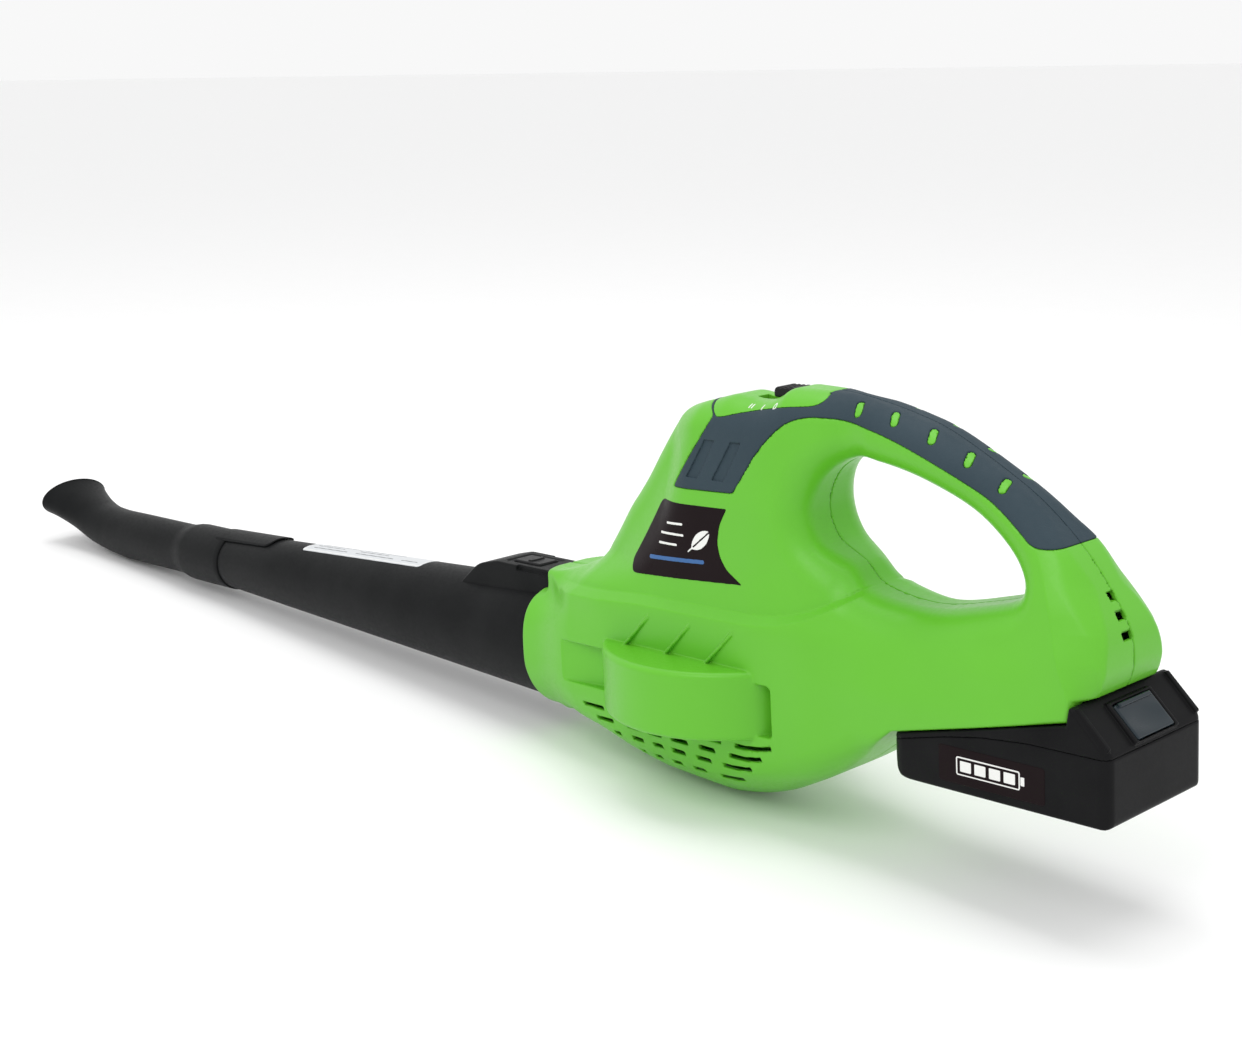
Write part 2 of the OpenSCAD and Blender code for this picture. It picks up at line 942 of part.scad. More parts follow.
pack_split = 19;              // height of the case parting line at the rear
pack_line = [
    [seat_front[0], -5], [seat_front[0] + 2, -10], [seat_front[0] + 7, pack_bottom],
    [pack_rear, pack_bottom], [pack_rear, 20], [241, 36.4], [236, 36.0], [234.2, 30.6],
    [seat_front[0], 7.6]
];
cell_r = 9.1;
cell_length = 65;
first_cell_x = 153.5;
cell_pitch = 19.2;

module pack_form(inset) {
    intersection() {
        across(2 * (pack_half - inset))
            offset(delta = -inset)
                polygon(pack_line);
        // rounded vertical corners
        upright(-30, 60)
            offset(delta = -inset)
                polygon([
                    [seat_front[0], -pack_half + 5], [seat_front[0] + 5, -pack_half],
                    [pack_rear - 6, -pack_half], [pack_rear, -pack_half + 6],
                    [pack_rear, pack_half - 6], [pack_rear - 6, pack_half],
                    [seat_front[0] + 5, pack_half], [seat_front[0], pack_half - 5]
                ]);
    }
}

// the case parts along a line that climbs towards the rear
module below_split() {
    across(far)
        polygon([
            [100, -30], [300, -30], [300, pack_split], [215, pack_split - 0.5],
            [190, 16.2], [170, 12.6], [seat_front[0], 4.8], [100, -4]
        ]);
}

latch_angle = 45;
latch_mid = [249, 28.6];      // centre of the latch face on the rear slope
latch_half = 14.5;             // half width of the latch

module at_latch() {
    translate([latch_mid[0], 0, latch_mid[1]])
        rotate([0, latch_angle, 0])
            children();
}

module pack_shell() {
    difference() {
        pack_form(0);
        pack_form(2.2);
        // latch pocket
        at_latch()
            block([-9 - gap, -latch_half - gap, -6.5], [9 + gap, latch_half + gap, 12]);
    }
}

module battery_lower_case() rest_pose() {
    color(black)
        difference() {
            intersection() {
                pack_shell();
                below_split();
            }
            pack_screw_holes();
        }
}

pack_screw_spots = [[248, 31], [248, -31]];

module pack_screw_holes() {
    for (p = pack_screw_spots)
        translate([p[0], p[1], pack_bottom - 1]) {
            cylinder(h = 12, r = 1.6, $fn = 24);
            cylinder(h = 2.2, r = 3.1, $fn = 32);
        }
}

module battery_upper_case() rest_pose() {
    color(black)
        difference() {
            union() {
                difference() {
                    pack_shell();
                    in_seat()
                        block([12, -14, -4], [60, 14, 2]);
                }
                rail_tower();
                // floor of the latch pocket, which is also the spring seat
                intersection() {
                    pack_form(1);
                    at_latch()
                        block([-11, -latch_half - 2, -9], [11, latch_half + 2, -6.5]);
                }
            }
            below_split();
        }
}

// neck under an overhanging flange, hollow inside and slotted for the blades
module rail_tower() {
    in_seat()
        difference() {
            union() {
                block([10, -neck_half, -2], [92, neck_half, 5]);
                block([10, -tower_half, 3.5], [92, tower_half, tower_top]);
            }
            block([12, -18, -3], [90, 18, tower_top - 2]);
            for (y = [-10, 0, 10])
                block([9, y - 1.2, -3], [36, y + 1.2, tower_top + 1]);
        }
}

module battery_cells() rest_pose() {
    color([0.10, 0.35, 0.62])
        for (i = [0 : cell_count - 1])
            translate([first_cell_x + i * cell_pitch, -cell_length / 2, pack_bottom + 2.6 + cell_r])
                rotate([-90, 0, 0])
                    cylinder(h = cell_length, r = cell_r, $fn = 48);
}

module cell_holder() rest_pose() {
    color([0.10, 0.10, 0.11])
        difference() {
            for (side = [-1, 1])
                block([145, side * 27 - 2, pack_bottom + 2.3], [241, side * 27 + 2, 0]);
            for (i = [0 : cell_count - 1])
                translate([first_cell_x + i * cell_pitch, -60, pack_bottom + 2.6 + cell_r])
                    rotate([-90, 0, 0])
                        cylinder(h = 120, r = cell_r, $fn = 48);
        }
}

module cell_straps() rest_pose() {
    color(steel)
        for (i = [0 : cell_count - 2]) {
            side = i % 2 == 0 ? 1 : -1;
            translate([first_cell_x + i * cell_pitch, side * (cell_length / 2 + 0.15), -1.3])
                block([-4, -0.15, -3], [23, 0.15, 3]);
        }
}

module battery_board() rest_pose() {
    color([0.05, 0.30, 0.16])
        in_seat()
            block([22, -22, -4.2], [78, 22, -2.8]);
}

module battery_contacts() rest_pose() {
    color(copper)
        in_seat()
            for (y = [-10, 0, 10])
                difference() {
                    block([20, y - 2, -2.8], [36, y + 2, 5]);
                    block([19, y - 0.6, -1.4], [37, y + 0.6, 6]);
                }
}

module battery_screws() rest_pose() {
    color(steel)
        for (p = pack_screw_spots)
            translate([p[0], p[1], pack_bottom + 0.2]) {
                cylinder(h = 1, r = 3, $fn = 32);
                cylinder(h = 14, r = 1.5, $fn = 24);
            }
}

module battery_label() rest_pose() {
    color([0.12, 0.12, 0.13])
        for (side = [-1, 1])
            translate([0, side * (pack_half + 0.15), 0])
                block([164, -0.15, -9], [226, 0.15, 10]);
}

module battery_latch() rest_pose() {
    color([0.16, 0.19, 0.24])
        at_latch()
            difference() {
                union() {
                    block([-9, -latch_half, -2.4], [9, latch_half, 1.2]);
                    block([-9, -latch_half + 2, 1], [-6.4, latch_half - 2, 2.6]);
                }
                translate([0, 0, -3.4])
                    cylinder(h = 2, r = 5.4, $fn = 48);
            }
}

module latch_spring() rest_pose() {
    color(steel)
        at_latch()
            translate([0, 0, -6.45])
                spring(5, 4.4, 0.5, 3);
}

// ---------------------------------------------------------------- assembly

left_housing();
right_housing();
left_grip();
right_grip();
switch_cradle();
position_marks();
housing_screws();
left_side_label();
right_side_label();
fan_case_lower();
fan_case_upper();
motor_can();
motor_end_cap();
motor_bearings();
motor_screws();
motor_tabs();
slide_switch();
control_board();
board_parts();
terminal_block();
terminal_blades();
motor_leads();
battery_leads();
impeller();
impeller_nut();
motor_shaft();
motor_rotor();
speed_slider();
blower_tube();
tube_label();
tube_release_button();
button_spring();
front_nozzle();
battery_lower_case();
battery_upper_case();
battery_cells();
cell_holder();
cell_straps();
battery_board();
battery_contacts();
battery_screws();
battery_label();
battery_latch();
latch_spring();
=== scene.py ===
"""Visual model of a cordless leaf blower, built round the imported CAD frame.

The moulded pieces are implicit surfaces: each is a function that is negative inside the piece, is
sampled on a grid and meshed, and then has its points moved onto the exact surface. All shaping is
done in millimetres in the tool frame (x along the tube towards the battery, z up, fan axis at
x = 0), and place() carries the result into the row frame.
"""
import functools
import json
import math

import bpy
import numpy as np
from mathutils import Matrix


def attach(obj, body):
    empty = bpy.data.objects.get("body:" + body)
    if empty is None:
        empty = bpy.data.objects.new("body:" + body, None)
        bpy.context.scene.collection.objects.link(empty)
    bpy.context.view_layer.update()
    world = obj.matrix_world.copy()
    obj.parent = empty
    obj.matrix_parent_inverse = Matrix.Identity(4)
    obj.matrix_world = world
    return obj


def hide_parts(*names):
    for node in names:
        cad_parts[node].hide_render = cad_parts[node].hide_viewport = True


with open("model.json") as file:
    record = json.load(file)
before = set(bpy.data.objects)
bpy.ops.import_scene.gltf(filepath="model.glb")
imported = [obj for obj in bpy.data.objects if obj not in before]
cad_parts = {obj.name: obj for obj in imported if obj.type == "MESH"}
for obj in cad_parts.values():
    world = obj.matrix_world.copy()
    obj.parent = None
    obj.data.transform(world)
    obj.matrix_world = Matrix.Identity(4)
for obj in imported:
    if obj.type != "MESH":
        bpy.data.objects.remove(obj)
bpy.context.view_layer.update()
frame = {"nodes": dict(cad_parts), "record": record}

import openvdb as vdb
from mathutils import Matrix, Vector

MM = 0.001

# ------------------------------------------------------------------ rest attitude

RIDE_HEIGHT = 58.3          # tube axis above the floor at the fan axis
NOZZLE_TOUCH = (650.0, 18.5)
MIDDLE_X = -247.85
TILT = (math.asin(RIDE_HEIGHT / math.hypot(*NOZZLE_TOUCH))
        - math.atan2(NOZZLE_TOUCH[1], NOZZLE_TOUCH[0]))
COS, SIN = math.cos(TILT), math.sin(TILT)


def turn(p):
    """Rotates tool-frame vectors into the rest attitude."""
    p = np.asarray(p, float)
    x, y, z = p[..., 0], p[..., 1], p[..., 2]
    return np.stack([x * COS - z * SIN, y, x * SIN + z * COS], -1)


def place(p):
    """Tool-frame points in mm to row-frame points in metres."""
    return (turn(p) + np.array([-MIDDLE_X, 0, RIDE_HEIGHT])) * MM


def floor_z(x):
    """Height of the floor in the tool frame."""
    return (-RIDE_HEIGHT - x * SIN) / COS


# ------------------------------------------------------------------ curves and distance fields

def catmull(p, n, closed=False):
    """Smooth line through points p, n steps between neighbours."""
    p = np.asarray(p, float)
    if closed:
        a, b, c, d = (np.roll(p, k, 0) for k in (1, 0, -1, -2))
    else:
        a = np.concatenate([p[:1], p[:-2]])
        b, c = p[:-1], p[1:]
        d = np.concatenate([p[2:], p[-1:]])
    t = (np.arange(n) / n)[None, :, None]
    a, b, c, d = (q[:, None, :] for q in (a, b, c, d))
    out = 0.5 * (2 * b + (c - a) * t + (2 * a - 5 * b + 4 * c - d) * t**2
                 + (3 * b - a - 3 * c + d) * t**3)
    out = out.reshape(-1, p.shape[1])
    return out if closed else np.concatenate([out, p[-1:]])


def outline_distance(points, x, z):
    """Signed distance from the points (x, z) to a closed outline, negative inside."""
    best = np.full(x.shape, 1e9)
    inside = np.zeros(x.shape, bool)
    for (ax, az), (bx, bz) in zip(points, np.roll(points, -1, 0)):
        ex, ez = bx - ax, bz - az
        length2 = ex * ex + ez * ez
        if length2 < 1e-9:
            continue
        t = np.clip(((x - ax) * ex + (z - az) * ez) / length2, 0, 1)
        best = np.minimum(best, (x - ax - t * ex) ** 2 + (z - az - t * ez) ** 2)
        crosses = (az > z) != (bz > z)
        if abs(ez) > 1e-9:
            inside ^= crosses & (x < ax + (z - az) * ex / ez)
    return np.where(inside, -1, 1) * np.sqrt(best)


def filleted(points, radii):
    """A closed outline with each corner rounded by its radius."""
    p = np.asarray(points, float)
    out = []
    for before, corner, after, r in zip(np.roll(p, 1, 0), p, np.roll(p, -1, 0), radii):
        a, b = before - corner, after - corner
        reach_a = min(r, 0.45 * np.hypot(*a))
        reach_b = min(r, 0.45 * np.hypot(*b))
        start = corner + a / np.hypot(*a) * reach_a
        end = corner + b / np.hypot(*b) * reach_b
        for t in np.linspace(0, 1, 6):
            out.append((1 - t) ** 2 * start + 2 * t * (1 - t) * corner + t * t * end)
    return np.array(out)


def smoothstep(t, low, high):
    t = np.clip((t - low) / (high - low), 0, 1)
    return t * t * (3 - 2 * t)


def round_and(a, b, r):
    """Intersection of two forms with a rounded edge of radius r."""
    return np.minimum(np.maximum(a, b), -r) + np.hypot(np.maximum(a + r, 0), np.maximum(b + r, 0))


def round_or(a, b, r):
    """Union of two forms with a fillet of radius r."""
    return -round_and(-a, -b, r)


def cut(a, b, r):
    """Form a with form b taken away, the edge rounded by r."""
    return round_and(a, -b, r)


def union(forms):
    """Plain union of several forms."""
    return functools.reduce(np.minimum, forms)


def box_form(x, y, z, low, high, r=0.0):
    """Distance to a box with edges rounded by r."""
    qx = np.abs(x - (low[0] + high[0]) / 2) - (high[0] - low[0]) / 2 + r
    qy = np.abs(y - (low[1] + high[1]) / 2) - (high[1] - low[1]) / 2 + r
    qz = np.abs(z - (low[2] + high[2]) / 2) - (high[2] - low[2]) / 2 + r
    outside = np.sqrt(np.maximum(qx, 0) ** 2 + np.maximum(qy, 0) ** 2 + np.maximum(qz, 0) ** 2)
    return outside + np.minimum(np.maximum(qx, np.maximum(qy, qz)), 0) - r


def plate_form(u, v, low, high, r=0.0):
    """Distance to a flat rectangle with corners rounded by r."""
    qu = np.abs(u - (low[0] + high[0]) / 2) - (high[0] - low[0]) / 2 + r
    qv = np.abs(v - (low[1] + high[1]) / 2) - (high[1] - low[1]) / 2 + r
    outside = np.sqrt(np.maximum(qu, 0) ** 2 + np.maximum(qv, 0) ** 2)
    return outside + np.minimum(np.maximum(qu, qv), 0) - r


def slot_form(u, v, a, b, r):
    """Distance to a flat round-ended slot from a to b."""
    eu, ev = b[0] - a[0], b[1] - a[1]
    t = np.clip(((u - a[0]) * eu + (v - a[1]) * ev) / (eu * eu + ev * ev), 0, 1)
    return np.hypot(u - a[0] - t * eu, v - a[1] - t * ev) - r


class SideMap:
    """A quantity that varies over the side view (x, z), sampled smoothly between grid points."""

    STEP = 0.5
    LOW = (-142.0, -70.0)
    SHAPE = (820, 490)

    def __init__(self, values):
        self.values = values

    @classmethod
    def grid(cls):
        x = cls.LOW[0] + cls.STEP * np.arange(cls.SHAPE[0])
        z = cls.LOW[1] + cls.STEP * np.arange(cls.SHAPE[1])
        return np.meshgrid(x, z, indexing="ij")

    def __call__(self, x, z):
        u = np.clip((x - self.LOW[0]) / self.STEP, 0, self.SHAPE[0] - 1.001)
        v = np.clip((z - self.LOW[1]) / self.STEP, 0, self.SHAPE[1] - 1.001)
        i, j = u.astype(int), v.astype(int)
        u, v = u - i, v - j
        f = self.values
        return ((f[i, j] * (1 - u) + f[i + 1, j] * u) * (1 - v)
                + (f[i, j + 1] * (1 - u) + f[i + 1, j + 1] * u) * v)


# ------------------------------------------------------------------ meshing

BAND = 3.0                  # voxels kept on each side of a surface


def gradient(form, p, step=0.25):
    """Slope of a form at points p, by central differences."""
    g = np.empty_like(p)
    for k in range(3):
        offset = np.zeros(3)
        offset[k] = step
        a, b = p + offset, p - offset
        g[:, k] = (form(*a.T) - form(*b.T)) / (2 * step)
    return g


def mesh_object(name, vertices, faces, finish, normals=None):
    mesh = bpy.data.meshes.new(name)
    mesh.from_pydata(place(vertices).tolist(), [], [list(f) for f in faces])
    mesh.materials.append(finish)
    mesh.validate()
    mesh.shade_smooth()
    if normals is not None:
        mesh.normals_split_custom_set_from_vertices(turn(normals).tolist())
    obj = bpy.data.objects.new(name, mesh)
    bpy.context.scene.collection.objects.link(obj)
    return obj


def form_mesh(form, low, high, voxel):
    """Points, quads and normals of the surface where form is zero."""
    low = np.array(low, float) - BAND * voxel
    high = np.array(high, float) + BAND * voxel
    count = np.ceil((high - low) / voxel).astype(int) + 1
    x, y, z = (low[k] + voxel * np.arange(count[k]) for k in range(3))
    values = form(x[:, None, None], y[None, :, None], z[None, None, :])
    values = np.broadcast_to(values, tuple(count)) / voxel
    grid = vdb.FloatGrid(BAND)
    grid.copyFromArray(np.ascontiguousarray(np.clip(values, -BAND, BAND), dtype=np.float32))
    points, quads = grid.convertToQuads(isovalue=0)
    p = low + voxel * points.astype(float)
    for _ in range(3):
        g = gradient(form, p)
        size2 = np.maximum((g * g).sum(1), 0.05)
        move = -(form(*p.T) / size2)[:, None] * g
        length = np.linalg.norm(move, axis=1, keepdims=True)
        p += move * np.minimum(1, 0.4 * voxel / np.maximum(length, 1e-9))
    normals = gradient(form, p, 0.35 * voxel)
    normals /= np.maximum(np.linalg.norm(normals, axis=1, keepdims=True), 1e-9)
    a, b, c = p[quads[:, 0]], p[quads[:, 1]], p[quads[:, 2]]
    if (np.cross(b - a, c - a) * normals[quads[:, 0]]).sum() < 0:
        quads = quads[:, ::-1]
    return p, quads, normals


def form_object(name, form, low, high, voxel, finish, body, nodes=(), mirrored=False):
    """A piece from a form sampled inside the box low to high, in mm."""
    p, quads, normals = form_mesh(form, low, high, voxel)
    if mirrored:
        p, normals, quads = p * [1, -1, 1], normals * [1, -1, 1], quads[:, ::-1]
    return finish_piece(mesh_object(name, p, quads, finish, normals), body, nodes)


def finish_piece(obj, body, nodes=()):
    """Puts a piece on its body, in place of its CAD nodes."""
    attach(obj, body)
    if nodes:
        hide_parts(*nodes)
    return obj


# ------------------------------------------------------------------ materials

def material(name, color, roughness, grain=0.45, bump=0.12, mottle=0.06, coat=0.0, metallic=0.0,
             specular=0.5, wear=0.0):
    """A moulded or metal finish: mottled colour, uneven gloss and a fine surface grain (mm)."""
    m = bpy.data.materials.new(name)
    m.use_nodes = True
    nodes, links = m.node_tree.nodes, m.node_tree.links
    shader = nodes["Principled BSDF"]
    shader.inputs["Metallic"].default_value = metallic
    shader.inputs["Coat Weight"].default_value = coat
    shader.inputs["Coat Roughness"].default_value = 0.12
    shader.inputs["Specular IOR Level"].default_value = specular
    coords = nodes.new("ShaderNodeTexCoord")

    def noise(scale_mm, detail, harshness=0.5):
        n = nodes.new("ShaderNodeTexNoise")
        n.inputs["Scale"].default_value = 1000.0 / scale_mm
        n.inputs["Detail"].default_value = detail
        n.inputs["Roughness"].default_value = harshness
        links.new(coords.outputs["Object"], n.inputs["Vector"])
        return n

    def ramp(source, *limits):
        r = nodes.new("ShaderNodeMapRange")
        for socket, value in zip(("From Min", "From Max", "To Min", "To Max"), limits):
            r.inputs[socket].default_value = value
        links.new(source, r.inputs["Value"])
        return r

    cloud = noise(38.0, 3.0)
    speck = noise(grain * 4, 2.0)
    mix = nodes.new("ShaderNodeMix")
    mix.data_type = "RGBA"
    tint = [max(0.0, min(1.0, c * (1 - mottle))) for c in color]
    light = [max(0.0, min(1.0, c * (1 + mottle) + 0.1 * mottle)) for c in color]
    mix.inputs[6].default_value = (*tint, 1)
    mix.inputs[7].default_value = (*light, 1)
    links.new(cloud.outputs["Fac"], mix.inputs[0])
    base = mix.outputs[2]
    if wear:
        geometry = nodes.new("ShaderNodeNewGeometry")
        edge = ramp(geometry.outputs["Pointiness"], 0.53, 0.60, 0.0, wear)
        worn = nodes.new("ShaderNodeMix")
        worn.data_type = "RGBA"
        links.new(edge.outputs["Result"], worn.inputs[0])
        links.new(base, worn.inputs[6])
        worn.inputs[7].default_value = (*[min(1.0, c * 1.5 + 0.05) for c in color], 1)
        base = worn.outputs[2]
    links.new(base, shader.inputs["Base Color"])
    gloss = ramp(speck.outputs["Fac"], 0.3, 0.7, roughness - 0.05, roughness + 0.05)
    links.new(gloss.outputs["Result"], shader.inputs["Roughness"])
    fine = noise(grain, 2.0, 0.6)
    relief = nodes.new("ShaderNodeBump")
    relief.inputs["Strength"].default_value = bump
    relief.inputs["Distance"].default_value = 0.0002
    links.new(fine.outputs["Fac"], relief.inputs["Height"])
    links.new(relief.outputs["Normal"], shader.inputs["Normal"])
    return m


GREEN = material("green_moulding", (0.116, 0.455, 0.022), 0.34,
                 grain=0.5, bump=0.10, mottle=0.03, specular=0.34)
GRIP = material("soft_grip", (0.026, 0.046, 0.060), 0.58,
                grain=0.7, bump=0.45, mottle=0.10, specular=0.16)
TUBE = material("tube_moulding", (0.0040, 0.0046, 0.0050), 0.42,
                grain=0.55, bump=0.30, mottle=0.12, specular=0.05)
PACK = material("pack_moulding", (0.0030, 0.0030, 0.0036), 0.34,
                grain=0.6, bump=0.28, mottle=0.12, specular=0.05)
BLACK = material("black_moulding", (0.0060, 0.0062, 0.0070), 0.38,
                 grain=0.5, bump=0.25, mottle=0.10, specular=0.12)
LATCH = material("latch_moulding", (0.010, 0.019, 0.026), 0.20,
                 grain=0.8, bump=0.08, mottle=0.06, specular=0.30)
DECAL = material("dark_film", (0.0085, 0.0040, 0.0050), 0.32,
                 grain=1.2, bump=0.02, mottle=0.05, specular=0.05)
SILVER = material("silver_film", (0.66, 0.68, 0.70), 0.34,
                  grain=0.9, bump=0.06, mottle=0.04, metallic=0.35)
WHITE = material("white_print", (0.78, 0.78, 0.76), 0.40, grain=0.8, bump=0.05, mottle=0.03)
BLUE = material("blue_print", (0.015, 0.10, 0.30), 0.40, grain=0.8, bump=0.05, mottle=0.05)
GREY = material("grey_print", (0.16, 0.17, 0.18), 0.42, grain=0.8, bump=0.05, mottle=0.05)
FAN = material("fan_moulding", (0.55, 0.56, 0.53), 0.45, grain=0.6, bump=0.15)
STEEL = material("zinc_steel", (0.56, 0.57, 0.59), 0.30,
                 grain=0.4, bump=0.12, metallic=1.0, wear=0.2)
MOTOR = material("motor_steel", (0.42, 0.43, 0.45), 0.34, grain=0.6, bump=0.15, metallic=1.0)
BRASS = material("contact_brass", (0.75, 0.52, 0.22), 0.28, grain=0.5, bump=0.10, metallic=1.0)
COPPER = material("winding_copper", (0.62, 0.26, 0.12), 0.36, grain=0.8, bump=0.6, metallic=0.8)
BOARD = material("board_mask", (0.012, 0.14, 0.05), 0.30,
                 grain=1.5, bump=0.15, mottle=0.2, coat=0.2)
RED_WIRE = material("red_insulation", (0.45, 0.02, 0.015), 0.45, grain=0.5, bump=0.1)
BLACK_WIRE = material("black_insulation", (0.015, 0.015, 0.016), 0.45, grain=0.5, bump=0.1)
CELL = material("cell_sleeve", (0.02, 0.13, 0.38), 0.26, grain=1.2, bump=0.1, coat=0.2)

SLOT_MATERIALS = {
    "green_shell": GREEN, "grip_rubber": GRIP, "tube_black": TUBE, "pack_black": PACK,
    "black_moulding": BLACK, "latch_blue": LATCH, "white_print": WHITE, "dark_label": DECAL,
    "silver_label": SILVER, "fan_plastic": FAN, "steel": STEEL, "motor_steel": MOTOR, "brass": BRASS,
    "copper_winding": COPPER, "circuit_board": BOARD, "red_wire": RED_WIRE,
    "black_wire": BLACK_WIRE, "cell_wrap": CELL,
}

for part in frame["record"]["subparts"]:
    cad_mesh = frame["nodes"][part["node"]].data
    cad_mesh.materials.clear()
    cad_mesh.materials.append(SLOT_MATERIALS[part["material_slot"]])

# ------------------------------------------------------------------ housing form

MOUTH_X = -134.0
SEAT_FRONT = (137.0, 8.0)
SEAT_REAR = (234.0, 31.0)
SEAT_ANGLE = math.atan2(SEAT_REAR[1] - SEAT_FRONT[1], SEAT_REAR[0] - SEAT_FRONT[0])
DRUM_R, DRUM_LOW, DRUM_HIGH = 70.0, -12.0, 24.0
FLANK = 43.5
WALL = 2.6

BELLY = catmull([(MOUTH_X, -37.5), (-96, -37.8), (-74, -41), (-52, -50.5), (-30, floor_z(-30))], 8)
STERN = catmull([(12, floor_z(12)), (36, -54), (63, -42), (97, -23), SEAT_FRONT], 8)
TOP = catmull([(240.6, 40.1), (243.2, 45), (244.8, 54), (242.4, 68), (232, 85), (218, 102), (197, 120),
               (172, 135), (147, 147.5), (128, 153.5), (111, 157.5), (94, 160.5), (80, 161.8),
               (66, 162.3), (58, 162), (52, 158.5), (44, 155.6), (35, 155), (27, 156.2), (19, 156.8),
               (8, 154.2), (-3, 151.6), (-13.5, 148.7), (-20.5, 145.2), (-26, 139.4), (-33.3, 130.4),
               (-40.2, 121.4), (-48.4, 110.2), (-57.0, 99.8), (-65, 90.8), (-75.5, 76.6), (-81.3, 69.4),
               (-87, 62.8), (-92, 57.6), (-99, 53.6), (-106, 50.6), (-113, 48.8), (-120, 48.1),
               (-127.6, 47.9)], 6)
SIDE_LINE = np.concatenate([BELLY, STERN, [SEAT_REAR, (235.2, 39.6)], TOP,
                            [(-128, 37.4), (MOUTH_X, 37.4)]])
HOLE_LINE = catmull([(94, 130), (79, 121), (72, 104), (78, 88), (95, 78), (108, 67.5), (138, 63),
                     (168, 68), (196, 77), (195, 90), (172, 110), (140, 123), (112, 129.5)], 8, True)

# half width of the housing, by height (rows) and position along the tool (columns)
WIDTH_X = np.array([-134, -100, -60, 0, 50, 80, 105, 140, 190, 246], float)
WIDTH_Z = np.array([-59, -46, -30, -10, 20, 47, 54, 75, 100, 130, 166], float)
WIDTHS = np.array([
    [10, 16, 19, 22, 22, 20, 18, 18, 18, 18],
    [20, 26, 30, 32, 32, 30, 27, 25, 25, 25],
    [27, 35, 39, 41, 41, 39, 35, 34, 34, 34],
    [36, 43, 43.5, 43.5, 43.5, 42, 39, 38, 38, 37],
    [36, 43, 43.5, 43.5, 43.5, 42, 38, 37.5, 38, 37],
    [30, 37, 43, 43.5, 43, 40, 34, 30, 34, 34],
    [26, 30, 38, 41, 41, 37, 30, 24, 30, 35],
    [18, 24, 32, 38, 38, 33, 22, 18, 25, 31],
    [16, 20, 29, 36, 36, 31, 18.5, 17, 19, 23],
    [15, 18, 26, 31.5, 32, 27, 17.5, 17, 17, 17],
    [14, 16, 22, 25, 26, 23, 17, 16.5, 16, 16],
], float)


def station_blend(values, at, axis_points, axis):
    """Interpolates a table along one axis, eased half way between straight and smooth steps."""
    index = np.clip(np.searchsorted(axis_points, at) - 1, 0, len(axis_points) - 2)
    t = np.clip((at - axis_points[index]) / (axis_points[index + 1] - axis_points[index]), 0, 1)
    t = 0.5 * t + 0.5 * t * t * (3 - 2 * t)
    a, b = np.take(values, index, axis), np.take(values, index + 1, axis)
    t = t[:, None] if axis == 0 else t[None, :]
    return a + (b - a) * t


def blur(values, radius):
    """Repeated box blur of a side map, in grid steps."""
    for axis in (0, 1):
        for _ in range(2):
            pad = [(radius, radius) if k == axis else (0, 0) for k in (0, 1)]
            total = np.cumsum(np.pad(values, pad, mode="edge"), axis)
            total = np.concatenate([np.zeros_like(np.take(total, [0], axis)), total], axis)
            width = 2 * radius + 1
            low = np.take(total, np.arange(total.shape[axis] - width), axis)
            high = np.take(total, np.arange(width, total.shape[axis]), axis)
            values = (high - low) / width
    return values


def lerp(a, b, share):
    return a * (1 - share) + b * share


GX, GZ = SideMap.grid()
side = SideMap(np.maximum(outline_distance(SIDE_LINE, GX, GZ), -outline_distance(HOLE_LINE, GX, GZ)))

COLLAR_HALF, COLLAR_HEIGHT = 36.6, 37.5     # half width and half height of the collar
LUG_COVER = 21.5            # half width of the collar over the lock wedge
SPINE_HALF, SPINE_REACH = 19.5, 46          # the hump narrows to this, over this far from its edge
CREASE_STEP, CREASE_RAMP = 4.8, 2.1         # height of the shoulder and half its chamfer
# shoulder: the flank below this line stands proud of the hump above it
CREASE = catmull([(-142, 43), (-90, 45), (-60, 46.5), (-28, 48.5), (10, 49), (50, 49.5), (70, 51.5),
                  (88, 57), (104, 66), (112, 74)], 8)
# where the rear face begins and ends, as (z, x) pairs
REAR_EDGE = np.array([(30, 236), (39.5, 234.3), (53, 228), (76, 220), (89, 214), (110, 203)], float)
REAR_TOP = np.array([(40, 240.5), (54, 243.6), (68, 241), (85, 232), (102, 218), (120, 197)], float)


def width_values():
    """Half width of the housing over the side view."""
    rows = station_blend(WIDTHS, GZ[0], WIDTH_Z, 0)
    out = blur(station_blend(rows, GX[:, 0], WIDTH_X, 1).T, 10)
    # round collar at the mouth, blending into the flanks
    power = 2.0 + smoothstep(GZ, -12, 12)
    collar = COLLAR_HALF * np.clip(1 - np.abs(GZ / COLLAR_HEIGHT) ** power, 0.004, 1) ** (1 / power)
    collar = np.where((GZ > 20) & (GX > -128.5), np.maximum(collar, LUG_COVER), collar)
    out = lerp(out, blur(collar, 5), 1 - smoothstep(GX, -130, -84))
    # the hump narrows towards its front spine
    spine = (1 - smoothstep(-side.values, 0, SPINE_REACH)) * smoothstep(GZ, 50, 66)
    out = lerp(out, SPINE_HALF, spine * (1 - smoothstep(GX, -24, 4)))
    crease_z = np.interp(GX[:, 0], CREASE[:, 0], CREASE[:, 1])[:, None]
    fade = smoothstep(GX, -108, -86) * (1 - smoothstep(GX, 92, 112))
    out = out - CREASE_STEP * fade * np.clip((GZ - crease_z + CREASE_RAMP) / (2 * CREASE_RAMP), 0, 1)
    # the rear face turns in behind a soft edge that climbs from the foot of the column
    edge_x = np.interp(GZ, REAR_EDGE[:, 0], REAR_EDGE[:, 1])
    end_x = np.interp(GZ, REAR_TOP[:, 0], REAR_TOP[:, 1]) + 0.5
    depth = np.clip((GX - edge_x) / (end_x - edge_x), 0, 1)
    turn_in = (1 - smoothstep(GZ, 84, 108)) * smoothstep(GZ, 30, 33)
    return out * (1 - turn_in * (0.24 * depth + 0.05 * depth**2))


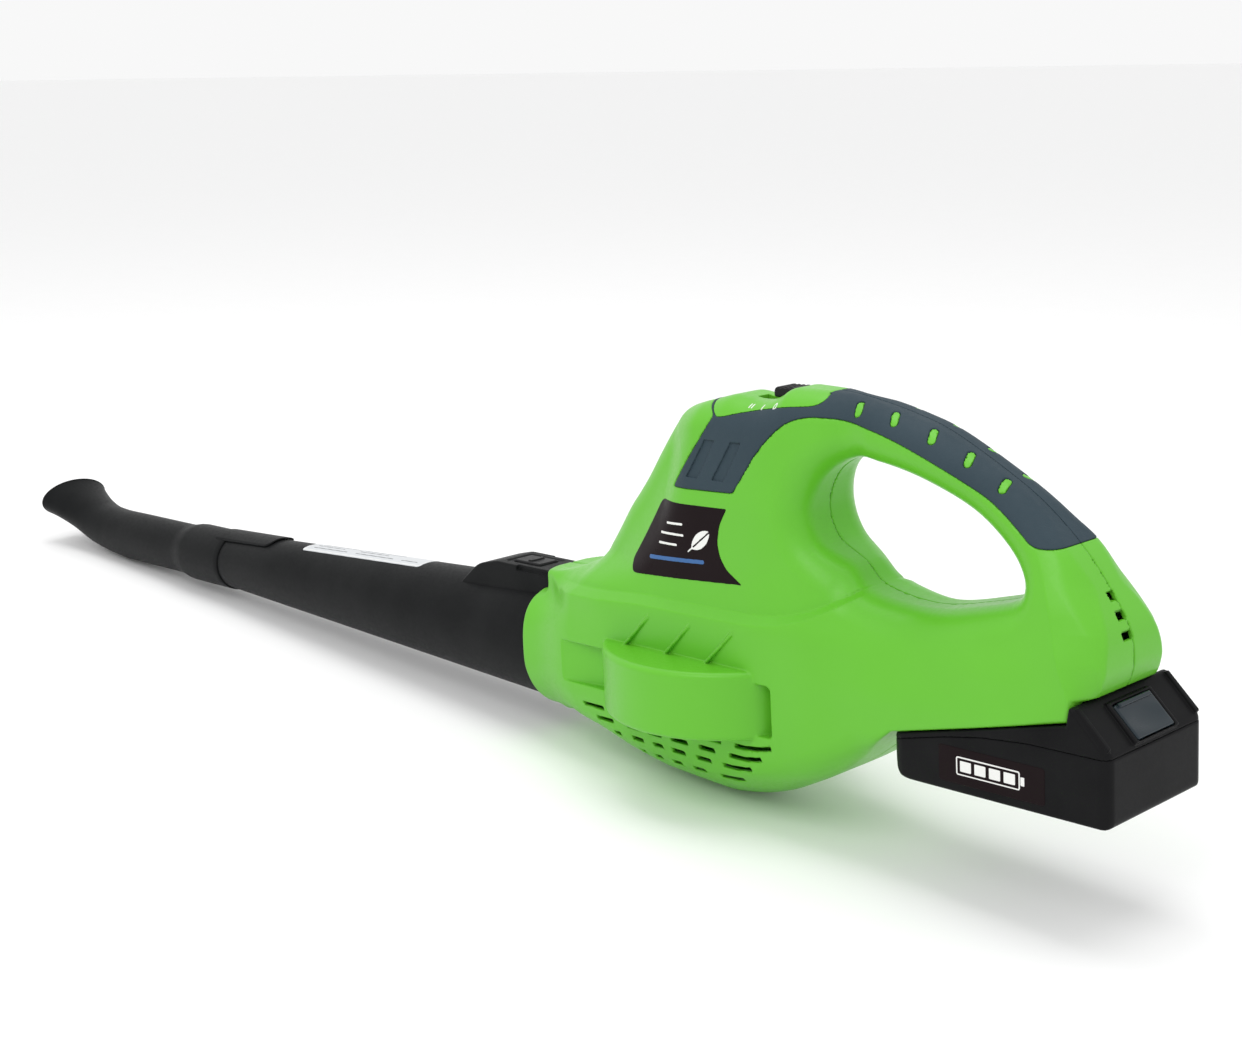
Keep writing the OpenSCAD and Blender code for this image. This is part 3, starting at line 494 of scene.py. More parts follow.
SEAT_SIDE = np.array([SEAT_FRONT, SEAT_REAR, (235.2, 39.8), (300, 39.8), (300, -60), (137, -60)])


def edge_radius_values():
    """Radius between the silhouette and the flanks over the side view."""
    out = 15 - 3 * smoothstep(-GX, -40, 20) * smoothstep(GZ, 45, 75) - 2 * smoothstep(GX, 60, 110)
    out = out + 6 * smoothstep(-GZ, 0, 40)
    out = lerp(out, 1.6, 1 - smoothstep(np.abs(outline_distance(SEAT_SIDE, GX, GZ)), 4, 26))
    out = lerp(out, 2.6, 1 - smoothstep(GX, MOUTH_X + 14, MOUTH_X + 34))
    out = lerp(out, 2.0 + 7 * smoothstep(GZ, 42, 90), smoothstep(GX, 205, 222) * smoothstep(GZ, 20, 30))
    return blur(out, 5)


width = SideMap(width_values())
slopes = np.gradient(width.values, SideMap.STEP)
steepness = SideMap(np.sqrt(1 + sum(slope**2 for slope in slopes)))
rounding = SideMap(edge_radius_values())


def seat_frame(x, z):
    """Coordinates up the seat slope and square to it."""
    u, v = x - SEAT_FRONT[0], z - SEAT_FRONT[1]
    c, s = math.cos(SEAT_ANGLE), math.sin(SEAT_ANGLE)
    return u * c + v * s, -u * s + v * c


def drum_form(x, y, z):
    """Fan drum, standing on its axis, with rounded rims."""
    edge = 3.2
    a = np.hypot(x, y) - DRUM_R + edge
    b = np.abs(z - (DRUM_LOW + DRUM_HIGH) / 2) - (DRUM_HIGH - DRUM_LOW) / 2 + edge
    return np.hypot(np.maximum(a, 0), np.maximum(b, 0)) + np.minimum(np.maximum(a, b), 0) - edge


def window_form(x, y, z):
    """Pockets in the flank beside the drum, deep at the rear so the drum runs in behind."""
    ay = np.abs(y)
    front = box_form(x, ay, z, (-91, FLANK - 60, -6), (-30, FLANK + 30, 17), 1.6)
    front = round_and(front, (FLANK - 1.2 - 0.16 * (x + 91)) - ay, 0.6)
    rear = box_form(x, ay, z, (30, FLANK - 25, -9), (65.5, FLANK + 30, 18), 3.0)
    return np.minimum(front, rear)


def gusset_form(x, y, z):
    """Three raised ribs that run down the flank to the top of the drum."""
    ay = np.abs(y)

    def rib(foot):
        along = ((x - foot) + (z - DRUM_HIGH)) / math.sqrt(2)
        across = ((x - foot) - (z - DRUM_HIGH)) / math.sqrt(2)
        height = 2.9 * (1 - along / 27.0)
        bar = round_and(np.abs(across) - 0.9, ay - (FLANK + height), 0.5)
        return np.maximum(bar, np.maximum(-along - 2, along - 26))
    return np.maximum(union(rib(foot) for foot in (-36.0, -5.5, 24.0)), FLANK - 6 - ay)


NOTCHES = [(-83, 73.5), (-70.5, 87.5), (-58.5, 103)]
NOTCH_DEPTH_TO = 17         # half width at which the notches in the spine end
FLOOR_GAP = 0.02


def body_form(x, y, z):
    """The outside of the whole housing with the grip and the cradle still part of it."""
    ay = np.abs(y)
    f = round_and(side(x, z), (ay - width(x, z)) / steepness(x, z), rounding(x, z))
    for nx, nz in NOTCHES:
        notch = slot_form(x, z, (nx, nz), (nx - 2.2, nz - 2.9), 1.0)
        f = cut(f, round_and(notch, ay - NOTCH_DEPTH_TO, 1.0), 0.5)
    f = cut(f, window_form(x, y, z), 0.8)
    f = round_or(f, drum_form(x, y, z), 0.7)
    f = np.minimum(f, gusset_form(x, y, z))
    return np.maximum(f, floor_z(x) + FLOOR_GAP - z)


# ------------------------------------------------------------------ grip, cradle and decal outlines

GRIP_LINE = np.concatenate([
    filleted([(-3, 121), (-12, 108.9), (33.2, 110), (46, 129)], [0, 1.5, 2.0, 0]),
    catmull([(46, 129), (55, 139.2), (64, 146.6), (75, 150.1), (87, 150.4), (98, 149.3), (110, 147.2),
             (124.5, 143.2), (139, 138.1), (153.3, 132.4), (167, 126.6), (179.5, 120.8), (189.4, 114.4),
             (198.8, 107), (203.6, 103.2), (208.5, 101.6), (217, 101.8), (228, 104)], 6),
    [(240, 120), (200, 150), (150, 170), (100, 175)],
    catmull([(77, 175), (77, 163), (82, 159.6), (78, 156.2), (61, 154.6), (44.4, 152), (31, 149.6),
             (20, 147.4), (16.4, 148.6), (11, 153), (4, 160), (1, 175)], 4),
    catmull([(-2, 175), (1, 159), (8.5, 152), (14.6, 147.6), (13, 143.2), (6.1, 133), (-3, 121)], 4)[:-1],
])
CRADLE_LINE = np.concatenate([
    [(78, 175)],
    catmull([(78, 163), (82.6, 159.6), (78, 155.7), (61, 154.2), (44.4, 151.6), (31, 149.2), (20, 147.0),
             (15.8, 148.2), (10.5, 152.6), (3.5, 159.6), (0, 175)], 4),
])
grip_zone = SideMap(outline_distance(GRIP_LINE, GX, GZ))
cradle_zone = SideMap(outline_distance(CRADLE_LINE, GX, GZ))
# slots through the soft grip: the upper and the lower end of each, on the left side
WINDOWS = np.array([((100.4, -7.0, 159.0), (104.0, -15.3, 152.0)),
                    ((121.0, -6.0, 155.3), (125.6, -14.9, 148.0)),
                    ((143.4, -5.6, 148.6), (146.8, -14.8, 141.6)),
                    ((163.8, -4.4, 139.6), (166.5, -14.6, 132.6)),
                    ((183.4, -3.4, 128.8), (184.9, -14.8, 122.0))])


def grip_window(x, y, z):
    """Five leaning slots through the soft grip, each cut square to the handle's shoulder."""
    def slot(high, low):
        middle = (high + low) / 2
        along = (high - low) / np.linalg.norm(high - low)
        facing = np.cross(along, (1.0, 0, -0.35))
        facing /= np.linalg.norm(facing)
        sideways = np.cross(facing, along)
        px, py, pz = x - middle[0], -np.abs(y) - middle[1], z - middle[2]
        a = px * along[0] + py * along[1] + pz * along[2]
        b = px * sideways[0] + py * sideways[1] + pz * sideways[2]
        return np.hypot(np.maximum(np.abs(a) - 2.9, 0), b) - 1.9
    return union(slot(high, low) for high, low in WINDOWS)


def grip_recess(x, z):
    """Two long leaning recesses in the front panel of the grip."""
    def recess(foot):
        u = x - foot - 0.60 * (z - 115.4)
        sides = np.maximum(-u, u - 8.2 + 0.06 * (z - 115.4)) * 0.86
        return np.maximum(sides, np.abs(z - 125.3) - 9.9)
    return union(recess(foot) for foot in (-0.2, 18.2))


# intake slots under the drum, row by row: where each starts and ends; the long ones curve up
VENT_ROWS = [
    (-17.2, [(-77, -60), (-51, -38), (-27, -14), (-6, 8), (16, 29.4), (39.7, 64.2)]),
    (-24.0, [(-68, -54.7), (-43, -32), (-27, -16), (-8.4, 4.4), (12.5, 24.3), (34.2, 56.6)]),
    (-30.8, [(-56, -50.5), (-41.3, -32.5), (-24.5, -16.8), (-9.5, 0.4), (9, 19.3), (28.2, 48.7)]),
    (-39.2, [(-41, -36.6), (-28.2, -22.8), (-14, -6.8), (2, 11), (21.8, 38.1)]),
]


def vent_form(x, z):
    """All the intake slots, in the side view."""
    def vent(height, start, end):
        long_slot = end - start > 16 and start > 0
        lift = 0.0065 * np.maximum(x - start - 4, 0) ** 2 * long_slot
        return np.maximum(np.abs(x - (start + end) / 2) - (end - start) / 2,
                          np.abs(z - height - lift) - 1.15)
    return union(vent(height, *ends) for height, slots in VENT_ROWS for ends in slots)


SCREW_SPOTS = [(-98, 46), (-70, -28), (62, -30), (-34, 120), (62, 92), (112, 47), (214, 62), (212, 90)]
SEAM_HOLES = [(236, 80.5), (239, 72.8), (241, 64.5)]
SEAM_GAP = 0.14             # each half stops this far from the seam
GRIP_DEPTH = 1.5            # depth of the recess under the soft grip
GRIP_UNDER = 0.9            # the grip skin runs this far below the recess, and its panels as deep
LOCK_SLOT_TOP = 45.0        # roof of the slot in the collar for the lock wedge


def pack_way(x, y, z):
    """Space in the battery seat for the pack's rail tower."""
    u, v = seat_frame(x, z)
    ay = np.abs(y)
    neck = box_form(u, ay, v, (6, -50, -6), (130, 20.4, 6))
    flange = box_form(u, ay, v, (6, -50, 3.1), (130, 25.4, 7.9))
    return np.minimum(neck, flange)


def housing_form(x, y, z):
    """Both halves of the housing as one hollow moulding with all its openings."""
    outside = body_form(x, y, z)
    f = np.maximum(outside, -(outside + WALL))
    # thicker collar lining and the rails of the battery seat
    u, v = seat_frame(x, z)
    lining = np.maximum(np.hypot(y, z) - 36.5, np.maximum(MOUTH_X - x, x + 102))
    rails = box_form(u, np.abs(y), v, (4, -50, 0.3), (112, 38, 2.8))
    bosses = union(np.maximum(np.hypot(x - sx, z - sz) - 5.4, outside + 1.2) for sx, sz in SCREW_SPOTS)
    extra = np.minimum(np.maximum(np.minimum(lining, rails), outside + 1.3), bosses)
    f = np.minimum(f, extra)
    # recesses for the soft grip and the cradle
    grip = np.maximum(grip_zone(x, z), -grip_window(x, y, z))
    f = np.maximum(f, np.minimum(-grip, outside + GRIP_DEPTH))
    f = np.maximum(f, -cradle_zone(x, z) - 0.15)
    # openings: vents, mouth, lock wedge, pack tower and the three holes on the rear seam
    f = np.maximum(f, -vent_form(x, z))
    f = np.maximum(f, -np.maximum(np.hypot(y, z) - 31.4, x + 100))
    f = np.maximum(f, -box_form(x, np.abs(y), z, (-160, -50, 20), (-109.5, 16.6, LOCK_SLOT_TOP), 1.0))
    f = np.maximum(f, -pack_way(x, y, z))
    for k, (hx, hz) in enumerate(SEAM_HOLES):
        hole = box_form(x, y, z, (hx - 14, -4.6 - 1.3 * k, hz - 1.8), (hx + 14, 0.6, hz + 1.8), 0.5)
        f = np.maximum(f, -hole)
    return f


def left_form(x, y, z):
    return round_and(housing_form(x, y, z), y + SEAM_GAP, 0.3)


def right_form(x, y, z):
    """The right half, with wells for the screw heads."""
    f = housing_form(x, y, z)
    for sx, sz in SCREW_SPOTS:
        well = np.maximum(np.hypot(x - sx, z - sz) - 3.6, 13.0 - y)
        f = cut(f, well, 0.5)
    return round_and(f, SEAM_GAP - y, 0.3)


form_object("left_housing_shell", left_form, (-135, -71, -61), (246, 1, 165), 1.05, GREEN, "housing",
            ["left_housing"])
form_object("right_housing_shell", right_form, (-135, -1, -61), (246, 71, 165), 1.05, GREEN, "housing",
            ["right_housing"])


def cradle_form(x, y, z):
    """Green bed of the speed slider, with its channel and the slot below."""
    f = round_and(body_form(x, y, z), cradle_zone(x, z) + 0.1, 0.4)
    channel = box_form(x, np.abs(y), z, (29.6, -20, 156.1), (57.4, 7.6, 175), 1.0)
    slot = box_form(x, np.abs(y), z, (29.6, -20, 140), (57.4, 4, 175))
    return np.maximum(np.maximum(f, -channel), -slot)


form_object("switch_cradle_top", cradle_form, (4, -30, 144), (92, 30, 164), 0.5, GREEN, "housing",
            ["switch_cradle"])


def grip_form(x, y, z):
    """Soft skin round the handle, standing a little proud of the housing."""
    f = body_form(x, y, z)
    edge = np.maximum(grip_zone(x, z), -grip_window(x, y, z)) + 0.12
    g = round_and(f - 0.15, edge, 0.7)
    g = np.maximum(g, -(f + GRIP_DEPTH + GRIP_UNDER))
    g = cut(g, np.maximum(grip_recess(x, z), -(f + GRIP_UNDER)), 0.3)
    return np.maximum(g, -cradle_zone(x, z))


def half_grip_form(x, y, z):
    return round_and(grip_form(x, y, z), y + 0.1, 0.25)


for side_name, is_right in (("left", False), ("right", True)):
    form_object(side_name + "_grip_skin", half_grip_form, (-14, -40, 99), (232, 1, 165), 0.75, GRIP,
                "housing", [side_name + "_grip"], mirrored=is_right)

# ------------------------------------------------------------------ printed films on the housing

FILM_EDGE = 0.08            # rounding of a film's edge


def film(name, surface, outline, low, high, lift, depth, voxel, finish, body, nodes=()):
    """A film that follows a curved surface inside a side-view outline."""
    def form(x, y, z):
        f = surface(x, y, z)
        slab = np.maximum(f - lift, -(f + depth))
        return round_and(slab, outline(x, z), FILM_EDGE)
    return form_object(name, form, low, high, voxel, finish, body, nodes)


LABEL_LINE = filleted([(24, 84), (26, 77), (31, 71), (42, 65), (-42, 60), (-46, 66), (-24.5, 100.8),
                       (30, 102), (25, 93)], [2, 3, 3, 0.8, 4, 3, 4, 1, 3])
WIND_LINES = [((-14, 90), (-2, 90.6)), ((-19, 84.4), (-1, 85.0)), ((-20, 79), (-6, 79.4))]
label_zone = SideMap(outline_distance(LABEL_LINE, GX, GZ))


def leaf_print(x, z):
    """A leaf with a midrib, drawn out by three wind lines."""
    lean = math.radians(38)
    u = (x - 12) * math.cos(lean) + (z - 84) * math.sin(lean)
    v = -(x - 12) * math.sin(lean) + (z - 84) * math.cos(lean)
    blade = np.maximum(np.hypot(u, v + 6.4) - 10.4, np.hypot(u, v - 6.4) - 10.4)
    blade = np.maximum(blade, 0.35 - np.abs(v))
    stalk = slot_form(u, v, (-11, 0), (-7, 0), 0.45)
    return union([blade, stalk] + [slot_form(x, z, start, end, 0.65) for start, end in WIND_LINES])


def accent_print(x, z):
    """A coloured bar under the leaf."""
    return slot_form(x, z, (-27, 70.5), (14, 73.0), 1.1)


for side_name, low_y, high_y in (("left", -46, -16), ("right", 16, 46)):
    film(side_name + "_side_film", body_form, label_zone, (-49, low_y, 56), (46, high_y, 106),
         0.22, 0.9, 0.45, DECAL, "housing", [side_name + "_side_label"])
    film(side_name + "_leaf_mark", body_form, leaf_print, (-22, low_y, 70), (24, high_y, 96),
         0.29, 0.7, 0.33, WHITE, "housing")
    film(side_name + "_accent_bar", body_form, accent_print, (-30, low_y, 68), (18, high_y, 76),
         0.29, 0.7, 0.33, BLUE, "housing")

# ------------------------------------------------------------------ slider marks and knob

KNOB_X = (43.0, 57.0)
KNOB_TOP = 161.9


def marks_form(x, y, z):
    """0, I and II printed beside the slider track, laid out in plan."""
    ay = np.abs(y)
    f = body_form(x, y, z)
    zero = np.abs(np.hypot((x - 54.6) / 0.75, ay - 18.6) - 1.25) - 0.34
    strokes = union(slot_form(x, ay, (at, middle - 1.3), (at, middle + 1.3), 0.36)
                    for at, middle in ((44.6, 16.6), (35.2, 15.6), (37.0, 15.7)))
    return round_and(np.maximum(f - 0.12, -(f + 0.6)), np.minimum(zero, strokes), 0.06)


for side_name, low_y, high_y in (("left", -22, -12), ("right", 12, 22)):
    form_object(side_name + "_slider_marks", marks_form, (33, low_y, 150), (57, high_y, 159), 0.22, WHITE,
                "housing", ["position_marks"] if side_name == "left" else ())


def knob_form(x, y, z):
    """Speed slider: a low block with a sloped front, three grooves and a foot in the slot."""
    f = box_form(x, y, z, (KNOB_X[0], -7, 156.5), (KNOB_X[1], 7, KNOB_TOP), 1.3)
    slope = ((x - KNOB_X[0]) * -0.82 + (z - KNOB_TOP) * 0.57) + 1.2
    f = round_and(f, slope, 0.8)
    for groove in (47.5, 50.5, 53.5):
        f = cut(f, np.hypot(x - groove, z - KNOB_TOP - 0.2) - 1.0, 0.25)
    return np.minimum(f, box_form(x, y, z, (45, -3, 149), (54, 3, 158), 0.3))


form_object("speed_slider_knob", knob_form, (41, -8, 148), (58, 8, 164), 0.42, BLACK, "slider",
            ["speed_slider"])

# ------------------------------------------------------------------ tube, lug and release button

JOINT_X = -494.0
TUBE_ROOT, TUBE_TIP = 34.5, 20.0            # radius at the collar and at the nozzle joint
SPIGOT_R, SPIGOT_BORE = 31.25, 29.0         # the rear end of the tube, inside the collar
NECK_R = 18.4               # the front end of the tube, inside the nozzle
ROUND_STEPS = 144


def tube_radius(x):
    return TUBE_TIP + (x - JOINT_X) / (MOUTH_X - 0.3 - JOINT_X) * (TUBE_ROOT - TUBE_TIP)


def ring_mesh(name, rings, finish, sharp=35):
    """A closed skin through rings of points; the last ring joins the first."""
    count, around = rings.shape[:2]
    index = np.arange(count * around).reshape(count, around)
    a, b = index, np.roll(index, -1, 0)
    quads = np.stack([a, b, np.roll(b, -1, 1), np.roll(a, -1, 1)], -1).reshape(-1, 4)
    obj = mesh_object(name, rings.reshape(-1, 3), quads, finish)
    obj.data.set_sharp_from_angle(angle=math.radians(sharp))
    return obj


def lathe(profile, steps):
    """Rings for a closed profile of (x, radius) turned about the tube axis."""
    profile = np.asarray(profile, float)
    angle = 2 * np.pi * np.arange(steps) / steps
    x = np.broadcast_to(profile[:, :1], (len(profile), steps))
    return np.stack([x, profile[:, 1:] * np.cos(angle), profile[:, 1:] * np.sin(angle)], -1)


def tube_profile():
    """Closed outline of the tube's wall, as (x, radius)."""
    long_x = np.linspace(JOINT_X + 1.2, MOUTH_X - 0.6, 60)
    outer = [(x, tube_radius(x)) for x in long_x]
    inner = [(x, tube_radius(x) - 4.6 + 0.6 * (x - JOINT_X) / 360) for x in long_x[::-1]]
    neck = [(JOINT_X - 28, NECK_R - 2), (JOINT_X - 28, NECK_R - 0.5), (JOINT_X - 27.5, NECK_R),
            (JOINT_X - 0.4, NECK_R), (JOINT_X - 0.2, NECK_R + 0.2), (JOINT_X, 19.6), (JOINT_X + 0.4, 19.95)]
    spigot = [(MOUTH_X - 0.3, TUBE_ROOT - 0.3), (MOUTH_X - 0.2, SPIGOT_R + 0.2), (MOUTH_X, SPIGOT_R),
              (-104.6, SPIGOT_R), (-104, SPIGOT_R - 0.6), (-104, SPIGOT_BORE + 0.2),
              (-104.4, SPIGOT_BORE), (MOUTH_X, SPIGOT_BORE)]
    return neck + outer + spigot + inner


tube = ring_mesh("blower_tube_body", lathe(tube_profile(), ROUND_STEPS), TUBE)
finish_piece(tube, "tube", ["blower_tube"])

LUG_LINE = filleted([(-218, 20), (-216, 26.2), (-197, 40.8), (-180, 44.6), (-134, 44.3), (-112, 44.3),
                     (-112, 26), (-134, 20)], [0.1, 1, 5, 3, 1, 1, 1, 1])
BUTTON_LOW, BUTTON_HIGH = (-172.0, -7.0, 40.5), (-148.0, 7.0, 45.0)


def lug_form(x, y, z):
    """Wedge on top of the tube that locks under the collar, with a well for the button."""
    f = round_and(lug_zone(x, z), np.abs(y) - 15.5, 1.3)
    f = np.maximum(f, -(np.hypot(y, z) - tube_radius(x) + 1.2))
    well = box_form(x, y, z, (BUTTON_LOW[0] - 0.4, -7.4, 35), (BUTTON_HIGH[0] + 0.4, 7.4, 60), 1.4)
    dish = box_form(x, y, z, (-176.5, -10.5, 43.9), (-143.5, 10.5, 60), 2.0)
    step = box_form(x, np.abs(y), z, (-160, 13.2, 41.5), (-100, 30, 60), 0.6)
    return cut(cut(cut(f, dish, 0.3), well, 0.3), step, 0.3)


class LugMap(SideMap):
    """A finer side map round the lock wedge."""

    STEP = 0.25
    LOW = (-230.0, 10.0)
    SHAPE = (521, 201)


LGX, LGZ = LugMap.grid()
lug_zone = LugMap(outline_distance(LUG_LINE, LGX, LGZ))
form_object("tube_lock_wedge", lug_form, (-220, -17, 18), (-110, 17, 46), 0.62, TUBE, "tube",
            ())


def button_form(x, y, z):
    """Oval release button with a finger ridge and the boss its spring sits in."""
    f = box_form(x, y, z, BUTTON_LOW, BUTTON_HIGH, 1.2)
    arc = np.maximum(np.abs(np.hypot(x + 172, y) - 13.5) - 1.3, np.abs(y) - 5.2)
    ridge = round_and(arc, np.abs(z - 45) - 0.85, 0.5)
    from_spring = np.hypot(x + 160, y)
    boss = np.maximum(np.maximum(from_spring - 5.4, 4.4 - from_spring), np.abs(z - 39.9) - 1.3)
    return union([f, ridge, boss])


form_object("release_button_cap", button_form, (-173, -8, 38), (-147, 8, 46.5), 0.42, BLACK, "tube_button",
            ["tube_release_button"])


def tube_film(name, outline, lift, depth, x_range, half, voxel, finish, nodes=()):
    """A film on top of the tube inside an outline in plan."""
    def form(x, y, z):
        f = (np.hypot(y, z) - tube_radius(x)) * 0.9992      # cosine of the taper
        slab = np.maximum(f - lift, -(f + depth))
        return round_and(np.maximum(slab, -z), outline(x, y), FILM_EDGE)
    return form_object(name, form, (x_range[0], -half, 20), (x_range[1], half, 31), voxel, finish, "tube",
                       nodes)


def label_band(x, y):
    return plate_form(x, y, (-399, -9), (-266, 9), 2.5)


def band_frame(x, y):
    return np.maximum(label_band(x, y) + 0.9, -(label_band(x, y) + 1.8))


BAND_LINES = [(-390, -352), (-390, -360), (-390, -347), (-341, -300), (-341, -310), (-341, -296),
              (-290, -274)]


def band_lines(x, y):
    """Short plain lines in three rows, in place of print."""
    rows = [(k % 3 - 1) * 4.0 for k in range(len(BAND_LINES))]
    return union(slot_form(x, y, (x0, row), (x1, row), 0.55) for (x0, x1), row in zip(BAND_LINES, rows))


tube_film("tube_label_film", label_band, 0.22, 0.9, (-400, -265), 10, 0.7, SILVER, ["tube_label"])
tube_film("tube_label_frame", band_frame, 0.27, 0.6, (-400, -265), 10, 0.4, WHITE)
tube_film("tube_label_lines", band_lines, 0.27, 0.6, (-392, -272), 6, 0.4, GREY)

# ------------------------------------------------------------------ nozzle

NOZZLE_R = 18.5
NOZZLE_BORE = 16.3
NOZZLE_WALL = 2.2
# stations towards the outlet: x, height of the middle, half width, half height, rake
OUTLET = np.array([(-650, 0, 18.5, 18.45, 0), (-662, 0.5, 18.4, 17.9, 0), (-674, 1.2, 18.3, 17.5, 0),
                   (-695, 4, 19.0, 16.2, 2), (-716, 10.4, 20.5, 14.4, 4), (-734, 16.2, 24.0, 13.8, 7),
                   (-745, 19.8, 27.0, 14.4, 9), (-746.6, 20.6, 27.8, 14.9, 9.5)], float)
# sleeve over the tube: x and how far it stands outside the nozzle's radius
SLEEVE = [(-640, 0), (-625, 0), (-610, 0), (-590, 0), (-575, 0), (-565, 0), (-561, 0.2), (-555, 1.1),
          (-549, 2.2), (-545, 2.5), (-530, 2.5), (-515, 2.5), (-500, 2.5), (JOINT_X - 1.4, 2.5),
          (JOINT_X - 0.7, 2.2), (JOINT_X - 0.4, 1.6)]


def nozzle_ring(x, centre, half_y, half_z, rake):
    """One oval section; rake carries its lower edge forward."""
    angle = 2 * np.pi * np.arange(ROUND_STEPS) / ROUND_STEPS
    up = np.sin(angle)
    return np.stack([x + rake * 0.45 * up, half_y * np.cos(angle), centre + half_z * up], -1)


def nozzle_rings():
    """The nozzle's skin: outside from the outlet to the joint, back through the bore, then the lip."""
    sections = catmull(OUTLET[::-1], 6)
    outer = [nozzle_ring(*section) for section in sections]
    outer += [nozzle_ring(x, 0, NOZZLE_R + r, NOZZLE_R + r, 0) for x, r in SLEEVE]
    socket = NECK_R + 0.05
    bore = [(JOINT_X - 0.4, socket + 0.5), (JOINT_X - 0.9, socket), (-520, socket), (-539, socket),
            (-560, NOZZLE_BORE + 0.1), (-600, NOZZLE_BORE), (-640, NOZZLE_BORE)]
    inner = [nozzle_ring(x, 0, r, r, 0) for x, r in bore]
    lip = sections[0]
    tip = [(section, 0.0, NOZZLE_WALL) for section in sections[::-1]]
    tip += [(lip, 1.0, 1.7), (lip, 1.2, 0.8), (lip, 0.8, 0.1)]
    for (x, centre, half_y, half_z, rake), ahead, inset in tip:
        inner.append(nozzle_ring(x - ahead, centre, half_y - inset, half_z - inset, rake))
    return np.array(outer + inner)


nozzle = ring_mesh("front_nozzle_body", nozzle_rings(), TUBE, 30)
finish_piece(nozzle, "nozzle", ["front_nozzle"])


def tongue_form(x, y, z):
    """Locking tongue that runs back over the tube, with a rounded end."""
    r = np.hypot(y, z)
    top = TUBE_TIP + 2.3 + (x - JOINT_X) * 2.0 / 64
    shell = np.maximum(r - top, tube_radius(x) + 0.45 - r)
    plan = plate_form(x, y, (-512, -12), (-437, 12), 5.0)
    return round_and(round_and(shell, plan, 0.6), -z, 0.2)


form_object("nozzle_lock_tongue", tongue_form, (-505, -13, 14), (-436, 13, 25.5), 0.5, TUBE, "nozzle",
            ())

# ------------------------------------------------------------------ battery pack

PACK_HALF, PACK_REAR, PACK_BOTTOM = 38.0, 256.0, -13.0
PACK_WALL = 2.2
PACK_CORNER = 2.6           # chamfer of the upright corners at the rear
PACK_LINE = filleted([(137, -4.5), (139.5, -10), (145, PACK_BOTTOM), (PACK_REAR, PACK_BOTTOM),
                      (PACK_REAR, 20), (237.8, 38.8), (235.8, 38.6), (234.3, 30.4), (137, 7.4)],
                     [4, 4, 5, 3.5, 2.5, 1.0, 0.6, 0.6, 0.6])
SPLIT_LINE = [(100, -40), (300, -40), (300, 19), (215, 18.5), (190, 16.2), (170, 12.6), (137, 4.8),
              (100, -4)]
PACK_SCREWS = (31, -31)     # y of the two case screws at x = 248
pack_zone = SideMap(outline_distance(PACK_LINE, GX, GZ))
split_zone = SideMap(outline_distance(SPLIT_LINE, GX, GZ))
LATCH_MID = (249.0, 28.6)
LATCH_HALF = 14.5


def latch_frame(x, z):
    """Distance down the rear slope and out of it, from the middle of the latch."""
    u, w = x - LATCH_MID[0], z - LATCH_MID[1]
    return (u - w) / math.sqrt(2), (u + w) / math.sqrt(2)


def pack_form(x, y, z):
    """The outside of the battery case with both halves as one, and the latch pocket."""
    ay = np.abs(y)
    corner = (ay + x - PACK_HALF - PACK_REAR + PACK_CORNER) / math.sqrt(2)
    plan = round_and(ay - PACK_HALF, corner, 2.0)
    nose = (ay - x - PACK_HALF + 137 + 5.0) / math.sqrt(2)
    plan = round_and(plan, nose, 2.0)
    f = round_and(pack_zone(x, z), plan, 1.8)
    down, out = latch_frame(x, z)
    # ridges that run down both sides of the rear slope, and the rim round the latch
    ridge = box_form(down, ay, out, (-14.4, 33.6, -3), (8.4, 36.6, 0.6), 0.6)
    rim = box_form(down, ay, out, (-11.2, -50, -3), (10.2, LATCH_HALF + 2.8, 0.9), 0.8)
    f = round_or(f, np.minimum(ridge, rim), 0.5)
    pocket = box_form(down, ay, out, (-9.4, -50, -6.5), (9.4, LATCH_HALF + 0.4, 12), 0.8)
    return cut(f, pocket, 0.4)


def pack_shell(x, y, z):
    outside = pack_form(x, y, z)
    return np.maximum(outside, -(outside + PACK_WALL))


def lower_case(x, y, z):
    f = round_and(pack_shell(x, y, z), split_zone(x, z) + 0.06, 0.45)
    for sy in PACK_SCREWS:
        from_screw = np.hypot(x - 248, y - sy)
        f = np.maximum(f, 1.6 - from_screw)
        f = np.maximum(f, -np.maximum(from_screw - 3.2, z - PACK_BOTTOM - 1.2))
    return f


def upper_case(x, y, z):
    """Upper half with the rail tower on top and the floor of the latch pocket."""
    u, v = seat_frame(x, z)
    ay = np.abs(y)
    f = pack_shell(x, y, z)
    f = np.maximum(f, -box_form(u, ay, v, (12, -50, -4), (60, 14, 2)))
    neck = box_form(u, ay, v, (10, -50, -2), (92, 20, 5))
    flange = box_form(u, ay, v, (10, -50, 3.5), (92, 25, 7.5), 0.6)
    tower = np.maximum(np.minimum(neck, flange), -box_form(u, ay, v, (12, -50, -3), (90, 18, 5.5)))
    for slot_y in (0, 10):
        tower = np.maximum(tower, -box_form(u, ay, v, (9, slot_y - 1.2, -3), (36, slot_y + 1.2, 8.5)))
    down, out = latch_frame(x, z)
    floor = box_form(down, ay, out, (-11, -50, -9), (11, LATCH_HALF + 2, -6.5))
    floor = np.maximum(floor, pack_zone(x, z) + 1)
    f = np.minimum(f, np.minimum(tower, floor))
    return round_and(f, -split_zone(x, z) + 0.06, 0.45)


form_object("pack_lower_case", lower_case, (136, -39, -14), (257, 39, 20), 0.8, PACK, "battery",
            ["battery_lower_case"])
form_object("pack_upper_case", upper_case, (136, -39, 0), (257, 39, 41), 0.8, PACK, "battery",
            ["battery_upper_case"])


